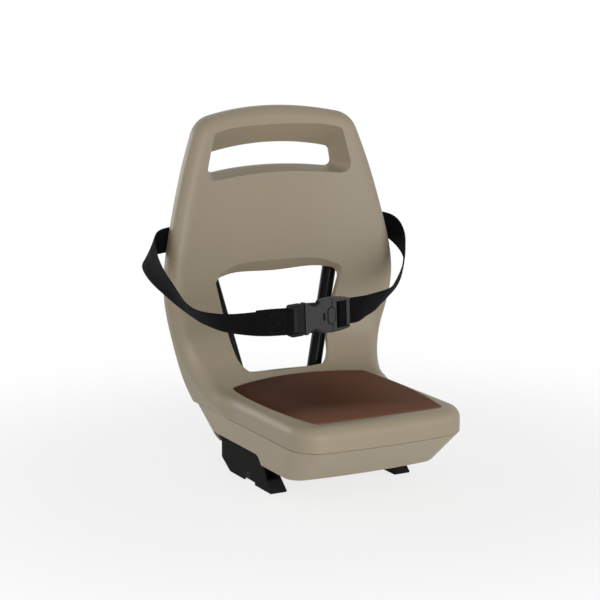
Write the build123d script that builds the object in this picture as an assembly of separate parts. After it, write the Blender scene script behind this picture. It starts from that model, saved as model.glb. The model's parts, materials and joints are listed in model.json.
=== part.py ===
from build123d import *
import math
import os

# Backrest and seat of the moulded shell
BACK_RADIUS = 356.0
BACK_FACE_Y = 114.0
RIM_DEPTH = 28.0
SKIN = 4.0
SEAT_TOP_Z = 74.0
SEAM_Z = 45.0
COVE_RADIUS = 66.0
SEAT_HALF = 111.0
SEAT_FRONT_Y = -168.0
FRONT_BOW = 7.0
FRONT_CORNER = 36.0
CHEEK_ROUND = 28.0
RIM_ROUND = 14.0
RIM_BACK_ROUND = 6.0
WIDEST_HALF = 157.0
WIDEST_Z = 188.0
TOP_HALF = 105.5
TOP_CORNER_Z = 393.5
TOP_Z = 406.5
TOP_CORNER = 34.0
LOWER_SIDE = ((0.217, 0.345), (0.538, 0.69))
UPPER_SIDE = ((0.383, 0.216), (0.751, 0.627))
FLARE_Y = 5.0
FLARE_MID = (0.4565, 50.0)
FLARE_END = (15.0, 16.3)

# Handle slot below the top edge: mouth at the face, throat at the back
SLOT_MOUTH_BOTTOM = 86.5
SLOT_MOUTH_TOP = 26.5
SLOT_MOUTH_CROWN = 2.5
SLOT_MOUTH_HALF = 102.5
SLOT_MOUTH_TOP_HALF = 89.0
SLOT_THROAT_BOTTOM = 80.0
SLOT_THROAT_TOP = 54.5
SLOT_THROAT_HALF = 87.5
SLOT_THROAT_TOP_HALF = 83.5
SLOT_THROAT_ARCH = 6.0
SLOT_THROAT_CROWN = 45.0
SLOT_MOUTH_CORNER = 12.0
SLOT_THROAT_CORNER = 7.0
SLOT_WALL = 5.0

# Opening between the seat and the backrest
OPENING_TOP_Z = 192.5
OPENING_CROWN_Z = 198.0
OPENING_TOP_HALF = 85.0
OPENING_LOW_HALF = 56.0
OPENING_LOW_Z = 80.0
OPENING_BEVEL = 13.0
OPENING_TOP_FLARE = 27.0
OPENING_CROWN_FLARE = 92.0
OPENING_RING = 15.0
OPENING_CORNER = 16.0
OPENING_LOW_CORNER = 30.0
LIP_Y = 80.0
LIP_THICK = 4.0
APRON_DROP = 12.0

# Ribs behind the backrest
RIB_HALF = 1.25
RIB_DEPTH = 5.0
RIB_X = (-66.0, -22.0, 22.0, 66.0)
CHEEK_RIB_Z = (135.0, 165.0, 195.0)

# Lower tray
TRAY_WALL = 3.0
TRAY_LOW_HALF = 99.0
TRAY_LOW_FRONT = -117.0
TRAY_LOW_CORNER = 22.0
TRAY_LOW_REAR = 100.0
TRAY_REAR_CORNER = 24.0
SEAM_GAP = 0.8
SEAM_TONGUE = 1.2
BOSS_JOINT_Z = 26.0

# Seat pad
PAD_REAR_HALF = 93.0
PAD_MID_HALF = 97.0
PAD_FRONT_HALF = 83.5
PAD_FRONT_Y = -145.0
PAD_REAR_Y = 48.0
PAD_REAR_BULGE = 22.0
PAD_FRONT_CORNER = 10.0
PAD_REAR_CORNER = 6.0
PAD_RECESS = 2.2
PAD_HEIGHT = 4.0
PAD_GAP = 0.4

# Carrier clamps
CLAMP_X = 84.5
CLAMP_WIDTH = 20.4
CLAMP_WALL = 2.0
CLAMP_TOP_Z = 14.1
CLAMP_LOW_Z = -30.0
CLAMP_FRONT_Y = -36.0
CLAMP_TOE_Y = -56.0
CLAMP_REAR_Y = 77.0
CLAMP_TAB_Y = 84.0
CLAMP_TRAVEL = 20.0
RAIL_R = 8.0
RAIL_Z = -8.6
LINER_Y = (-6.0, 46.0)
LOCK_Y = (-15.0, 25.0)
CROSS_BOLT_Y = 5.0
CROSS_BOLT_Z = -22.2
CLAMP_BOLT_Y = (-18.0, 58.0)
BOLT_R = 3.0
CROSS_HEAD_R = 4.6
SLIDE_GAP = 0.2

# Steel plate in the tray
PLATE_THICK = 3.0
PLATE_HALF = 94.0
PLATE_Y = (-34.0, 72.0)

# Tube hoop behind the backrest
TUBE_R = 9.0
TUBE_WALL = 1.5
HOOP_LEG_LOW = (59.5, 115.5, 97.0)
HOOP_LEG_HIGH = (78.4, 125.0, 175.0)
HOOP_TOP_Z = 299.0
HOOP_FRONT_Y = -30.0
HOOP_BEND = 27.0

# Clips and straps that hold the hoop
CLIP_THICK = 2.0
CLIP_WIDTH = 14.0
CLIP_REACH = 22.0
CLIP_SCREW_X = 17.0
CLIP_TOP_X = 40.0
CLIP_LEG_Z = 226.0
PLATE_STRAP_Y = (5.0, 38.0)
SCREW_R = 2.0
SCREW_HEAD_R = 4.0
TRAY_SCREWS = ((-70.0, -88.0), (70.0, -88.0), (-20.0, 84.0), (20.0, 84.0))

# Hip belt
WEB_WIDTH = 30.0
WEB_THICK = 1.5
BUCKLE_CENTRE = (-47.4, -83.0, 183.0)
BUCKLE_DIRECTION = (0.9969, 0.0698, 0.0349)
BUCKLE_LENGTH = 82.0
BUCKLE_WIDTH = 40.0
BUCKLE_THICK = 12.0
LAYER_GAP = 0.2
BELT_JOIN = (119.0, 124.4, 251.5)
LEFT_KNOTS = (
    (-138.0, 119.0, 251.5), (-150.5, 115.2, 251.0), (-163.0, 111.0, 249.0), (-179.0, 101.0, 243.5),
    (-193.0, 83.0, 235.5), (-194.5, 55.0, 229.5), (-191.5, 20.0, 215.0), (-185.5, -18.0, 196.5),
    (-173.0, -53.0, 186.3), (-159.6, -69.0, 183.5), (-144.7, -77.0, 182.6), (-125.9, -82.8, 182.0),
    (-108.0, -85.6, 181.6))
RIGHT_KNOTS = (
    (138.0, 119.0, 251.5), (150.5, 115.2, 251.0), (160.0, 110.0, 248.0), (167.0, 96.0, 237.5),
    (163.5, 75.0, 225.0), (151.4, 55.0, 216.0), (134.0, 30.0, 208.0), (113.7, 5.0, 200.8),
    (91.3, -18.0, 194.8), (67.1, -42.0, 190.0), (46.5, -58.0, 188.0), (23.1, -70.0, 186.3))
LEFT_LEAN = (0.0, 0.0, 0.0, 0.0, 0.0, 0.0, 3.0, 12.0, 38.0, 43.0, 29.0, 16.0, 5.0, 0.0, 0.0)
RIGHT_LEAN = (0.0, 0.0, 0.0, 0.0, 0.0, 0.0, 5.0, 10.0, 18.0, 28.0, 36.0, 27.0, 18.0, 5.0, 0.0, 0.0)

os.makedirs("parts", exist_ok=True)

AXIS_Y = BACK_FACE_Y - BACK_RADIUS
BACK_OUTER = BACK_RADIUS + RIM_DEPTH
CLIP_FOOT = -TUBE_R + 2.0
POCKET_Z = CLAMP_TOP_Z + SLIDE_GAP
PLATE_Z = POCKET_Z + TRAY_WALL
PLATE_TOP = PLATE_Z + PLATE_THICK
LAYER = WEB_THICK + LAYER_GAP


def column(radius, z_low, z_high):
    """Upright cylinder about the axis of the backrest curve."""
    base = Cylinder(radius, z_high - z_low, align=(Align.CENTER, Align.CENTER, Align.MIN))
    return Pos(0, AXIS_Y, z_low) * base


def block(x_range, y_range, z_range):
    """Box between two corners."""
    size = [high - low for low, high in (x_range, y_range, z_range)]
    middle = [(high + low) / 2 for low, high in (x_range, y_range, z_range)]
    return Pos(*middle) * Box(*size)


def post(x, y, radius, z_low, z_high):
    """Upright round pin between two heights."""
    pin = Cylinder(radius, z_high - z_low, align=(Align.CENTER, Align.CENTER, Align.MIN))
    return Pos(x, y, z_low) * pin


def rounded(solid, edges, radius):
    """Solid with its edges rounded, by less where the full radius has no room."""
    for share in (1.0, 0.85, 0.7, 0.5):
        try:
            result = solid.fillet(radius * share, edges)
        except ValueError:
            continue
        if result.is_valid:
            return result
    return solid.fillet(radius * 0.3, edges)


def front_outline(inset, drop):
    """Outline of the whole shell seen from the front, drawn in and let down at the foot."""
    low = (SEAT_HALF + 1 - 1.15 * inset, SEAM_Z)
    wide = (WIDEST_HALF - inset, WIDEST_Z)
    top = (TOP_HALF - 1.1 * inset, TOP_CORNER_Z - inset)
    side = [low]
    side += [(low[0] + u * (wide[0] - low[0]), low[1] + t * (wide[1] - low[1])) for t, u in LOWER_SIDE]
    side += [wide]
    side += [(wide[0] + u * (top[0] - wide[0]), wide[1] + t * (top[1] - wide[1])) for t, u in UPPER_SIDE]
    side += [top]
    with BuildSketch(Plane.XZ) as sketch:
        with BuildLine():
            edge = Spline(*side)
            mirror(edge, about=Plane.YZ)
            ThreePointArc(top, (0, TOP_Z - inset), (-top[0], top[1]))
            if drop > 0:
                leg = Line(low, (low[0], low[1] - drop))
                mirror(leg, about=Plane.YZ)
            Line((low[0], low[1] - drop), (-low[0], low[1] - drop))
        make_face()
        fillet(sketch.vertices().sort_by(Axis.Y)[-2:], TOP_CORNER - inset)
    return sketch.sketch


def face_y(x):
    """Depth of the backrest face at a distance from the middle."""
    return AXIS_Y + math.sqrt(BACK_RADIUS * BACK_RADIUS - x * x)


def plan_outline(inset):
    """Outline of the seat seen from above, flaring out to the backrest."""
    half = SEAT_HALF - inset
    corner = (half, SEAT_FRONT_Y + FRONT_BOW + inset)
    flare_mid = (half + FLARE_MID[0] * (WIDEST_HALF - SEAT_HALF), FLARE_MID[1] + 0.4 * inset)
    end_x = WIDEST_HALF + FLARE_END[0]
    flare_end = (end_x, face_y(end_x) + FLARE_END[1] + inset)
    rear = BACK_FACE_Y + RIM_DEPTH + 20
    with BuildSketch(Plane.XY) as sketch:
        with BuildLine():
            ThreePointArc((-corner[0], corner[1]), (0, SEAT_FRONT_Y + inset), corner)
            flank = Line(corner, (half, FLARE_Y))
            flare = Spline((half, FLARE_Y), flare_mid, flare_end, tangents=((0, 1), (1, 0.55)))
            back = Line(flare_end, (flare_end[0], rear))
            for edge in (flank, flare, back):
                mirror(edge, about=Plane.YZ)
            Line((flare_end[0], rear), (-flare_end[0], rear))
        make_face()
        fillet(sketch.vertices().sort_by(Axis.Y)[:2], FRONT_CORNER - inset)
    return sketch.sketch


def occupant_space(growth):
    """Space of the rider: round column with a coved foot."""
    space = column(BACK_RADIUS + growth, SEAT_TOP_Z - growth, TOP_Z + 60)
    foot = space.edges().filter_by(GeomType.CIRCLE).sort_by(Axis.Z)[0]
    return fillet(foot, COVE_RADIUS + growth)


def face_edges(solid, radius, seat_z):
    """Outer edges of the surfaces that face the rider."""
    faces = []
    for face in solid.faces():
        kind = face.geom_type
        if kind == GeomType.TORUS:
            faces.append(face)
        elif kind == GeomType.CYLINDER and abs(face.radius - radius) < 0.01:
            faces.append(face)
        elif kind == GeomType.PLANE and abs(face.center().Z - seat_z) < 0.01:
            faces.append(face)
    edges = [edge for face in faces for edge in face.edges()]
    return [edge for edge in edges if sum(edge.is_same(other) for other in edges) == 1]


def crease_edges(solid):
    """Diagonal creases where the seat flank runs into the backrest side."""
    found = []
    for edge in solid.edges():
        box = edge.bounding_box()
        climbs = box.min.Z < SEAM_Z + 1 and SEAT_TOP_Z - SKIN - 1 < box.max.Z < SEAT_TOP_Z + COVE_RADIUS
        if climbs and box.max.Y < BACK_FACE_Y and box.size.X > 5 and box.size.Y > 10:
            found.append(edge)
    return found


def shell_body(inset, drop):
    """Body of the shell, drawn in by the inset, before its holes."""
    front = extrude(front_outline(inset, drop), 400, both=True)
    plan = Pos(0, 0, SEAM_Z - drop) * extrude(plan_outline(inset), 500)
    return front & plan


def slot_wires(grow):
    """Mouth and throat of the handle slot as closed outlines."""
    mouth = arched_quad(
        SLOT_MOUTH_HALF, TOP_Z - SLOT_MOUTH_BOTTOM, TOP_Z - SLOT_MOUTH_BOTTOM,
        SLOT_MOUTH_TOP_HALF, TOP_Z - SLOT_MOUTH_TOP, TOP_Z - SLOT_MOUTH_CROWN,
        SLOT_MOUTH_CORNER, SLOT_MOUTH_CORNER)
    throat = arched_quad(
        SLOT_THROAT_HALF, TOP_Z - SLOT_THROAT_BOTTOM, TOP_Z - SLOT_THROAT_BOTTOM + SLOT_THROAT_ARCH,
        SLOT_THROAT_TOP_HALF, TOP_Z - SLOT_THROAT_TOP, TOP_Z - SLOT_THROAT_CROWN,
        SLOT_THROAT_CORNER, SLOT_THROAT_CORNER)
    if grow > 0:
        mouth = offset(mouth, amount=grow)
        throat = offset(throat, amount=grow)
    return mouth, throat


def arched_quad(low_half, low_z, low_crown, top_half, top_z, top_crown, low_corner, top_corner):
    """Four-sided outline with bowed lower and upper edges and round corners."""
    with BuildSketch(Plane.XZ) as sketch:
        with BuildLine():
            if abs(low_crown - low_z) < 0.01:
                Line((-low_half, low_z), (low_half, low_z))
            else:
                ThreePointArc((-low_half, low_z), (0, low_crown), (low_half, low_z))
            Line((low_half, low_z), (top_half, top_z))
            ThreePointArc((top_half, top_z), (0, top_crown), (-top_half, top_z))
            Line((-top_half, top_z), (-low_half, low_z))
        make_face()
        fillet(sketch.vertices().sort_by(Axis.Y)[:2], low_corner)
        fillet(sketch.vertices().sort_by(Axis.Y)[-2:], top_corner)
    return sketch.sketch


def opening_wires(grow):
    """Front and throat of the opening above the seat as closed outlines."""
    front = arched_quad(
        OPENING_LOW_HALF + 5, OPENING_LOW_Z, OPENING_LOW_Z,
        OPENING_TOP_HALF + OPENING_BEVEL, OPENING_TOP_Z + OPENING_TOP_FLARE,
        OPENING_CROWN_Z + OPENING_CROWN_FLARE, OPENING_LOW_CORNER, OPENING_CORNER)
    throat = arched_quad(
        OPENING_LOW_HALF, OPENING_LOW_Z, OPENING_LOW_Z,
        OPENING_TOP_HALF, OPENING_TOP_Z, OPENING_CROWN_Z, OPENING_LOW_CORNER, OPENING_CORNER)
    if grow > 0:
        front = offset(front, amount=grow)
        throat = offset(throat, amount=grow)
    return front, throat


def funnel(front, throat, front_y, throat_y, rear_y):
    """Tapered hole from a front outline to a throat, then straight to the rear."""
    taper = loft([Pos(0, front_y, 0) * front, Pos(0, throat_y, 0) * throat], ruled=True)
    run = extrude(Pos(0, throat_y, 0) * throat, rear_y - throat_y, dir=(0, 1, 0))
    return taper + run


def hoop_leg_at(z):
    """Centre of the right hoop leg at a height."""
    low = HOOP_LEG_LOW
    high = HOOP_LEG_HIGH
    t = (z - low[2]) / (high[2] - low[2])
    return (low[0] + t * (high[0] - low[0]), low[1] + t * (high[1] - low[1]), z)


def clip_planes():
    """Planes of the hoop clips: x across the flanges, y away from the shell, z along the tube."""
    planes = []
    top = hoop_leg_at(HOOP_TOP_Z)
    leg = hoop_leg_at(CLIP_LEG_Z)
    for side in (-1, 1):
        planes.append(Plane((side * CLIP_TOP_X, top[1], HOOP_TOP_Z), x_dir=(0, 0, -1), z_dir=(1, 0, 0)))
        run = Vector(side * (top[0] - leg[0]), top[1] - leg[1], HOOP_TOP_Z - CLIP_LEG_Z).normalized()
        across = Vector(0, 1, 0).cross(run).normalized()
        planes.append(Plane((side * leg[0], leg[1], CLIP_LEG_Z), x_dir=across, z_dir=run))
    return planes


def seat_shell():
    """One-piece moulding: backrest, seat top, rim, slot, opening, ribs and bosses."""
    body = shell_body(0.0, 0.0) & column(BACK_OUTER, SEAM_Z - 1, TOP_Z + 30)
    body = (body - occupant_space(0.0)).solids()[0]
    body = rounded(body, crease_edges(body), CHEEK_ROUND)
    body = rounded(body, face_edges(body, BACK_RADIUS, SEAT_TOP_Z), RIM_ROUND)
    back_edges = []
    for face in body.faces().filter_by(GeomType.CYLINDER):
        if abs(face.radius - BACK_OUTER) < 0.01:
            back_edges += [edge for edge in face.edges() if edge.bounding_box().max.Z > SEAM_Z + 1]
    body = rounded(body, back_edges, RIM_BACK_ROUND)

    hollow = shell_body(SKIN, 20.0) - occupant_space(SKIN)
    hollow = max(hollow.solids(), key=lambda solid: solid.volume)
    hollow = rounded(hollow, crease_edges(hollow), CHEEK_ROUND - SKIN)
    hollow = rounded(hollow, face_edges(hollow, BACK_RADIUS + SKIN, SEAT_TOP_Z - SKIN), RIM_ROUND - SKIN)
    apron_top = OPENING_LOW_Z - APRON_DROP
    apron = column(BACK_OUTER + 60, SEAM_Z - 30, apron_top)
    apron = apron - column(BACK_OUTER - SKIN, SEAM_Z - 40, apron_top + 5)
    hollow = hollow - apron
    mouth, throat = slot_wires(0.0)
    hollow = hollow - funnel(*slot_wires(SLOT_WALL), BACK_FACE_Y - 14, BACK_FACE_Y + 17, BACK_FACE_Y + 60)
    front, narrow = opening_wires(0.0)
    ring = extrude(opening_wires(OPENING_RING)[1], BACK_RADIUS, both=True)
    ring = ring & column(BACK_RADIUS + SKIN + RIB_DEPTH / 2, SEAM_Z, TOP_Z)
    ring_low = (OPENING_LOW_Z + OPENING_TOP_Z) / 2 + OPENING_RING
    ring = ring - block((-BACK_OUTER, BACK_OUTER), (-BACK_OUTER, BACK_OUTER), (0, ring_low))
    hollow = hollow - ring
    ribs = []
    slot_low = TOP_Z - SLOT_MOUTH_BOTTOM
    rib_y = (0, BACK_OUTER)
    rib_z = (OPENING_CROWN_Z + OPENING_RING - 1, slot_low + 6)
    for x in RIB_X:
        ribs.append(block((x - RIB_HALF, x + RIB_HALF), rib_y, rib_z))
    rib_in = OPENING_TOP_HALF + OPENING_RING - 6
    for z in CHEEK_RIB_Z:
        rib = block((rib_in, BACK_OUTER), rib_y, (z - RIB_HALF, z + RIB_HALF))
        ribs += [rib, flipped(rib)]
    rib_depth = column(BACK_RADIUS + SKIN + RIB_DEPTH, SEAM_Z, TOP_Z)
    for rib in ribs:
        hollow = hollow - (rib & rib_depth)
    pilots = []
    for plane in clip_planes():
        for x in (-CLIP_SCREW_X, CLIP_SCREW_X):
            spot = plane * Pos(x, CLIP_FOOT, 0) * Rot(90, 0, 0)
            hollow = hollow - spot * Cylinder(5.0, 40, align=(Align.CENTER, Align.CENTER, Align.MIN))
            pilots.append(spot * Cylinder(SCREW_R + 0.02, 14, align=(Align.CENTER, Align.CENTER, Align.MIN)))
    body = body - funnel(mouth, throat, BACK_FACE_Y - 14, BACK_FACE_Y + 17, BACK_FACE_Y + 60)
    body = body - funnel(front, narrow, LIP_Y, BACK_FACE_Y + 8, BACK_FACE_Y + 60)
    body = body - hollow
    well_x = (-OPENING_LOW_HALF, OPENING_LOW_HALF)
    well = block(well_x, (LIP_Y + LIP_THICK, 300), (SEAM_Z - 20, OPENING_LOW_Z))
    body = body - (well & column(BACK_OUTER - SKIN, SEAM_Z - 30, TOP_Z))
    for pilot in pilots:
        body = body - pilot
    for x, y in TRAY_SCREWS:
        body = body + (post(x, y, 6.0, BOSS_JOINT_Z, SEAT_TOP_Z + SKIN) - occupant_space(1.0))
        body = body - post(x, y, SCREW_R + 0.22, BOSS_JOINT_Z - 1, BOSS_JOINT_Z + 16)
    body = body - (extrude(pad_outline(PAD_GAP), 200) & occupant_space(PAD_RECESS))
    return body


def pad_outline(gap):
    """Outline of the seat pad seen from above."""
    rear = (PAD_REAR_HALF + gap, PAD_REAR_Y + gap)
    middle = (PAD_MID_HALF + gap, (PAD_REAR_Y + PAD_FRONT_Y) / 2)
    front = (PAD_FRONT_HALF + gap, PAD_FRONT_Y - gap)
    with BuildSketch(Plane.XY) as sketch:
        with BuildLine():
            ThreePointArc((-rear[0], rear[1]), (0, rear[1] + PAD_REAR_BULGE), rear)
            side = Spline(rear, middle, front)
            mirror(side, about=Plane.YZ)
            ThreePointArc((-front[0], front[1]), (0, front[1] - 1.5), front)
        make_face()
        fillet(sketch.vertices().sort_by(Axis.Y)[:2], PAD_FRONT_CORNER)
        fillet(sketch.vertices().sort_by(Axis.Y)[-2:], PAD_REAR_CORNER)
    return sketch.sketch


def tray_outline(half, front_y, rear_y, front_corner, rear_corner):
    """Outline of the tray at one height."""
    rear_side = rear_y - half * half / (2 * BACK_OUTER)
    with BuildSketch(Plane.XY) as sketch:
        with BuildLine():
            ThreePointArc((-half, front_y + FRONT_BOW), (0, front_y), (half, front_y + FRONT_BOW))
            Line((half, front_y + FRONT_BOW), (half, rear_side))
            ThreePointArc((half, rear_side), (0, rear_y), (-half, rear_side))
            Line((-half, rear_side), (-half, front_y + FRONT_BOW))
        make_face()
        fillet(sketch.vertices().sort_by(Axis.Y)[:2], front_corner)
        fillet(sketch.vertices().sort_by(Axis.Y)[-2:], rear_corner)
    return sketch.sketch


def tray_solid(inset, z_low):
    """Tapered pan between the underside and the seam, drawn in by the inset."""
    rear = BACK_FACE_Y + RIM_DEPTH - 0.6
    rear_corner = TRAY_REAR_CORNER - inset
    top = tray_outline(
        SEAT_HALF - inset, SEAT_FRONT_Y + inset, rear - inset, FRONT_CORNER - inset, rear_corner)
    low = tray_outline(
        TRAY_LOW_HALF - inset, TRAY_LOW_FRONT + inset, TRAY_LOW_REAR - inset,
        TRAY_LOW_CORNER - inset, rear_corner)
    return loft([Pos(0, 0, z_low) * low, Pos(0, 0, SEAM_Z) * top], ruled=True)


def base_tray():
    """Lower pan with two clamp pockets, cross slots and screw posts."""
    tray = tray_solid(0.0, 0.0)
    bottom = tray.faces().sort_by(Axis.Z)[0]
    tray = rounded(tray, bottom.edges(), 5.0)
    inside = tray_solid(TRAY_WALL, TRAY_WALL)
    pocket_y = (CLAMP_FRONT_Y - 2, CLAMP_TAB_Y + 1.5)
    pocket_in = CLAMP_X - CLAMP_WIDTH / 2 - CLAMP_TRAVEL - 2.5
    for side in (-1, 1):
        pocket_x = sorted((side * pocket_in, side * 200))
        pocket = block(pocket_x, pocket_y, (-20, POCKET_Z))
        corner = [edge for edge in pocket.edges().filter_by(Axis.X) if edge.center().Z > 0]
        pocket = fillet([edge for edge in corner if edge.center().Y < 0], 8)
        wall_x = sorted((side * (pocket_in - TRAY_WALL), side * 200))
        wall_y = (pocket_y[0] - TRAY_WALL, pocket_y[1] + TRAY_WALL)
        wall = block(wall_x, wall_y, (-20, PLATE_Z))
        inside = inside - wall
        tray = tray - pocket
    for x, y in TRAY_SCREWS:
        inside = inside - post(x, y, 6.5, 0, BOSS_JOINT_Z)
    tray = tray - inside
    for x, y in TRAY_SCREWS:
        tray = tray - post(x, y, SCREW_R + 0.6, -1, BOSS_JOINT_Z + 1)
        tray = tray - post(x, y, SCREW_HEAD_R + 1.0, -1, 6.0)
    for slot in cross_slots(POCKET_Z - 1, PLATE_Z + 1):
        tray = tray - slot
    step = block((-BACK_OUTER, BACK_OUTER), (-BACK_OUTER, BACK_OUTER), (SEAM_Z - SEAM_GAP, SEAM_Z + 1))
    return tray - (step - tray_solid(SEAM_TONGUE, 0.0))


def cross_slots(z_low, z_high):
    """Slots along which the clamp bolts travel."""
    slots = []
    for side in (-1, 1):
        middle = side * (CLAMP_X - CLAMP_TRAVEL / 2)
        for y in CLAMP_BOLT_Y:
            outline = Pos(middle, y, z_low) * SlotCenterToCenter(CLAMP_TRAVEL + 1, 2 * BOLT_R + 0.8)
            slots.append(extrude(outline, z_high - z_low))
    return slots


def mounting_plate():
    """Steel plate over both clamp pockets."""
    plate = block((-PLATE_HALF, PLATE_HALF), PLATE_Y, (PLATE_Z, PLATE_TOP))
    plate = fillet(plate.edges().filter_by(Axis.Z), 10)
    for slot in cross_slots(PLATE_Z - 1, PLATE_TOP + 1):
        plate = plate - slot
    middle_y = sum(PLATE_Y) / 2
    window = Pos(0, middle_y, PLATE_Z - 1) * RectangleRounded(36, 60, 8)
    plate = plate - extrude(window, PLATE_THICK + 2)
    for side in (-1, 1):
        for x, y in strap_bolt_spots(side):
            plate = plate - post(x, y, BOLT_R + 0.02, PLATE_Z - 1, PLATE_TOP + 1)
    return plate


def run_x():
    """Distance of the lower hoop runs from the middle."""
    return hoop_leg_at(PLATE_TOP + TUBE_R)[0]


def strap_bolt_spots(side):
    """Bolt places of the plate straps on one side."""
    middle = side * run_x()
    return [(middle + dx, y) for y in PLATE_STRAP_Y for dx in (-CLIP_SCREW_X, CLIP_SCREW_X)]


def backrest_hoop():
    """Bent steel tube: two runs on the plate, two legs and a top bar."""
    foot = hoop_leg_at(PLATE_TOP + TUBE_R)
    top = hoop_leg_at(HOOP_TOP_Z)
    right = [(foot[0], HOOP_FRONT_Y, foot[2]), foot, top]
    left = [(-x, y, z) for x, y, z in reversed(right)]
    path = FilletPolyline(*right, *left, radius=HOOP_BEND)
    start = Plane(right[0], x_dir=(1, 0, 0), z_dir=(0, 1, 0))
    tube = sweep(start * Circle(TUBE_R), path=path)
    bore = sweep(start * Circle(TUBE_R - TUBE_WALL), path=path)
    return tube - bore


def saddle(foot):
    """Bent strip over a tube: x across, y away from the base, z along the tube."""
    inner = TUBE_R + 0.1
    outer = inner + CLIP_THICK
    with BuildSketch() as sketch:
        Circle(outer)
        with Locations((0, foot / 2)):
            Rectangle(2 * outer, -foot)
        with Locations((0, foot + CLIP_THICK / 2)):
            Rectangle(2 * CLIP_REACH, CLIP_THICK)
        Circle(inner, mode=Mode.SUBTRACT)
        with Locations((0, foot / 2)):
            Rectangle(2 * inner, -foot, mode=Mode.SUBTRACT)
        with Locations((0, foot - outer)):
            Rectangle(4 * outer, 2 * outer, mode=Mode.SUBTRACT)
    strip = extrude(sketch.sketch, CLIP_WIDTH / 2, both=True)
    for x in (-CLIP_SCREW_X, CLIP_SCREW_X):
        hole = Pos(x, foot, 0) * Rot(90, 0, 0) * Cylinder(SCREW_R + 1.02, 4 * CLIP_THICK)
        strip = strip - hole
    return strip


def pan_screw(shank_r, length, head_r, head_h):
    """Screw along -Z with its head resting on the plane z = 0."""
    shank = Cylinder(shank_r, length, align=(Align.CENTER, Align.CENTER, Align.MAX))
    head = Cylinder(head_r, head_h, align=(Align.CENTER, Align.CENTER, Align.MIN))
    head = fillet(head.edges().filter_by(GeomType.CIRCLE).sort_by(Axis.Z)[-1], 0.35 * head_h)
    drive = Pos(0, 0, head_h) * extrude(RegularPolygon(0.5 * head_r, 6), -0.5 * head_h)
    return (head + shank) - drive


def flush_screw(shank_r, length, head_r, head_h):
    """Countersunk screw along -Z, its flat head level with the plane z = 0."""
    shank = Cylinder(shank_r, length, align=(Align.CENTER, Align.CENTER, Align.MAX))
    head = Cone(shank_r, head_r, head_h, align=(Align.CENTER, Align.CENTER, Align.MAX))
    return (head + shank) - extrude(RegularPolygon(0.6 * shank_r, 6), -head_h)


def hex_bolt(shank_r, length, flats, head_h):
    """Hexagon bolt along -Z with its head resting on the plane z = 0."""
    shank = Cylinder(shank_r, length, align=(Align.CENTER, Align.CENTER, Align.MAX))
    head = extrude(RegularPolygon(flats / 2, 6, major_radius=False), head_h)
    crown = Cone(flats * 0.72, flats * 0.42, flats * 0.3, align=(Align.CENTER, Align.CENTER, Align.MAX))
    skirt = Cylinder(flats, head_h, align=(Align.CENTER, Align.CENTER, Align.MAX))
    top = Pos(0, 0, head_h) * crown
    under = Pos(0, 0, head_h - flats * 0.3) * skirt
    return (head & (top + under)) + shank


def hex_nut(bore_r, flats, height):
    """Hexagon nut standing on the plane z = 0."""
    nut = extrude(RegularPolygon(flats / 2, 6, major_radius=False), height)
    return nut - Cylinder(bore_r, 3 * height)


def round_washer(bore_r, outer_r, thick):
    """Flat washer lying on the plane z = 0."""
    disc = Cylinder(outer_r, thick, align=(Align.CENTER, Align.CENTER, Align.MIN))
    return disc - Cylinder(bore_r, 3 * thick)


def clip_set():
    """Clips on the hoop with their screws."""
    clips = []
    screws = []
    for plane in clip_planes():
        clips.append(plane * saddle(CLIP_FOOT))
        for x in (-CLIP_SCREW_X, CLIP_SCREW_X):
            spot = plane * Pos(x, CLIP_FOOT + CLIP_THICK, 0) * Rot(-90, 0, 0)
            screws.append(spot * pan_screw(SCREW_R, 13.0, SCREW_HEAD_R, 2.6))
    return clips, screws


def plate_strap_set():
    """Straps that hold the hoop runs on the plate, with their bolts."""
    straps = []
    bolts = []
    for side in (-1, 1):
        for y in PLATE_STRAP_Y:
            plane = Plane((side * run_x(), y, PLATE_TOP + TUBE_R), x_dir=(1, 0, 0), z_dir=(0, -1, 0))
            straps.append(plane * saddle(-TUBE_R))
        for x, y in strap_bolt_spots(side):
            seat = PLATE_TOP + CLIP_THICK
            bolts.append(Pos(x, y, seat) * hex_bolt(BOLT_R, CLIP_THICK + PLATE_THICK, 10.0, 4.0))
    return straps, bolts


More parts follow.
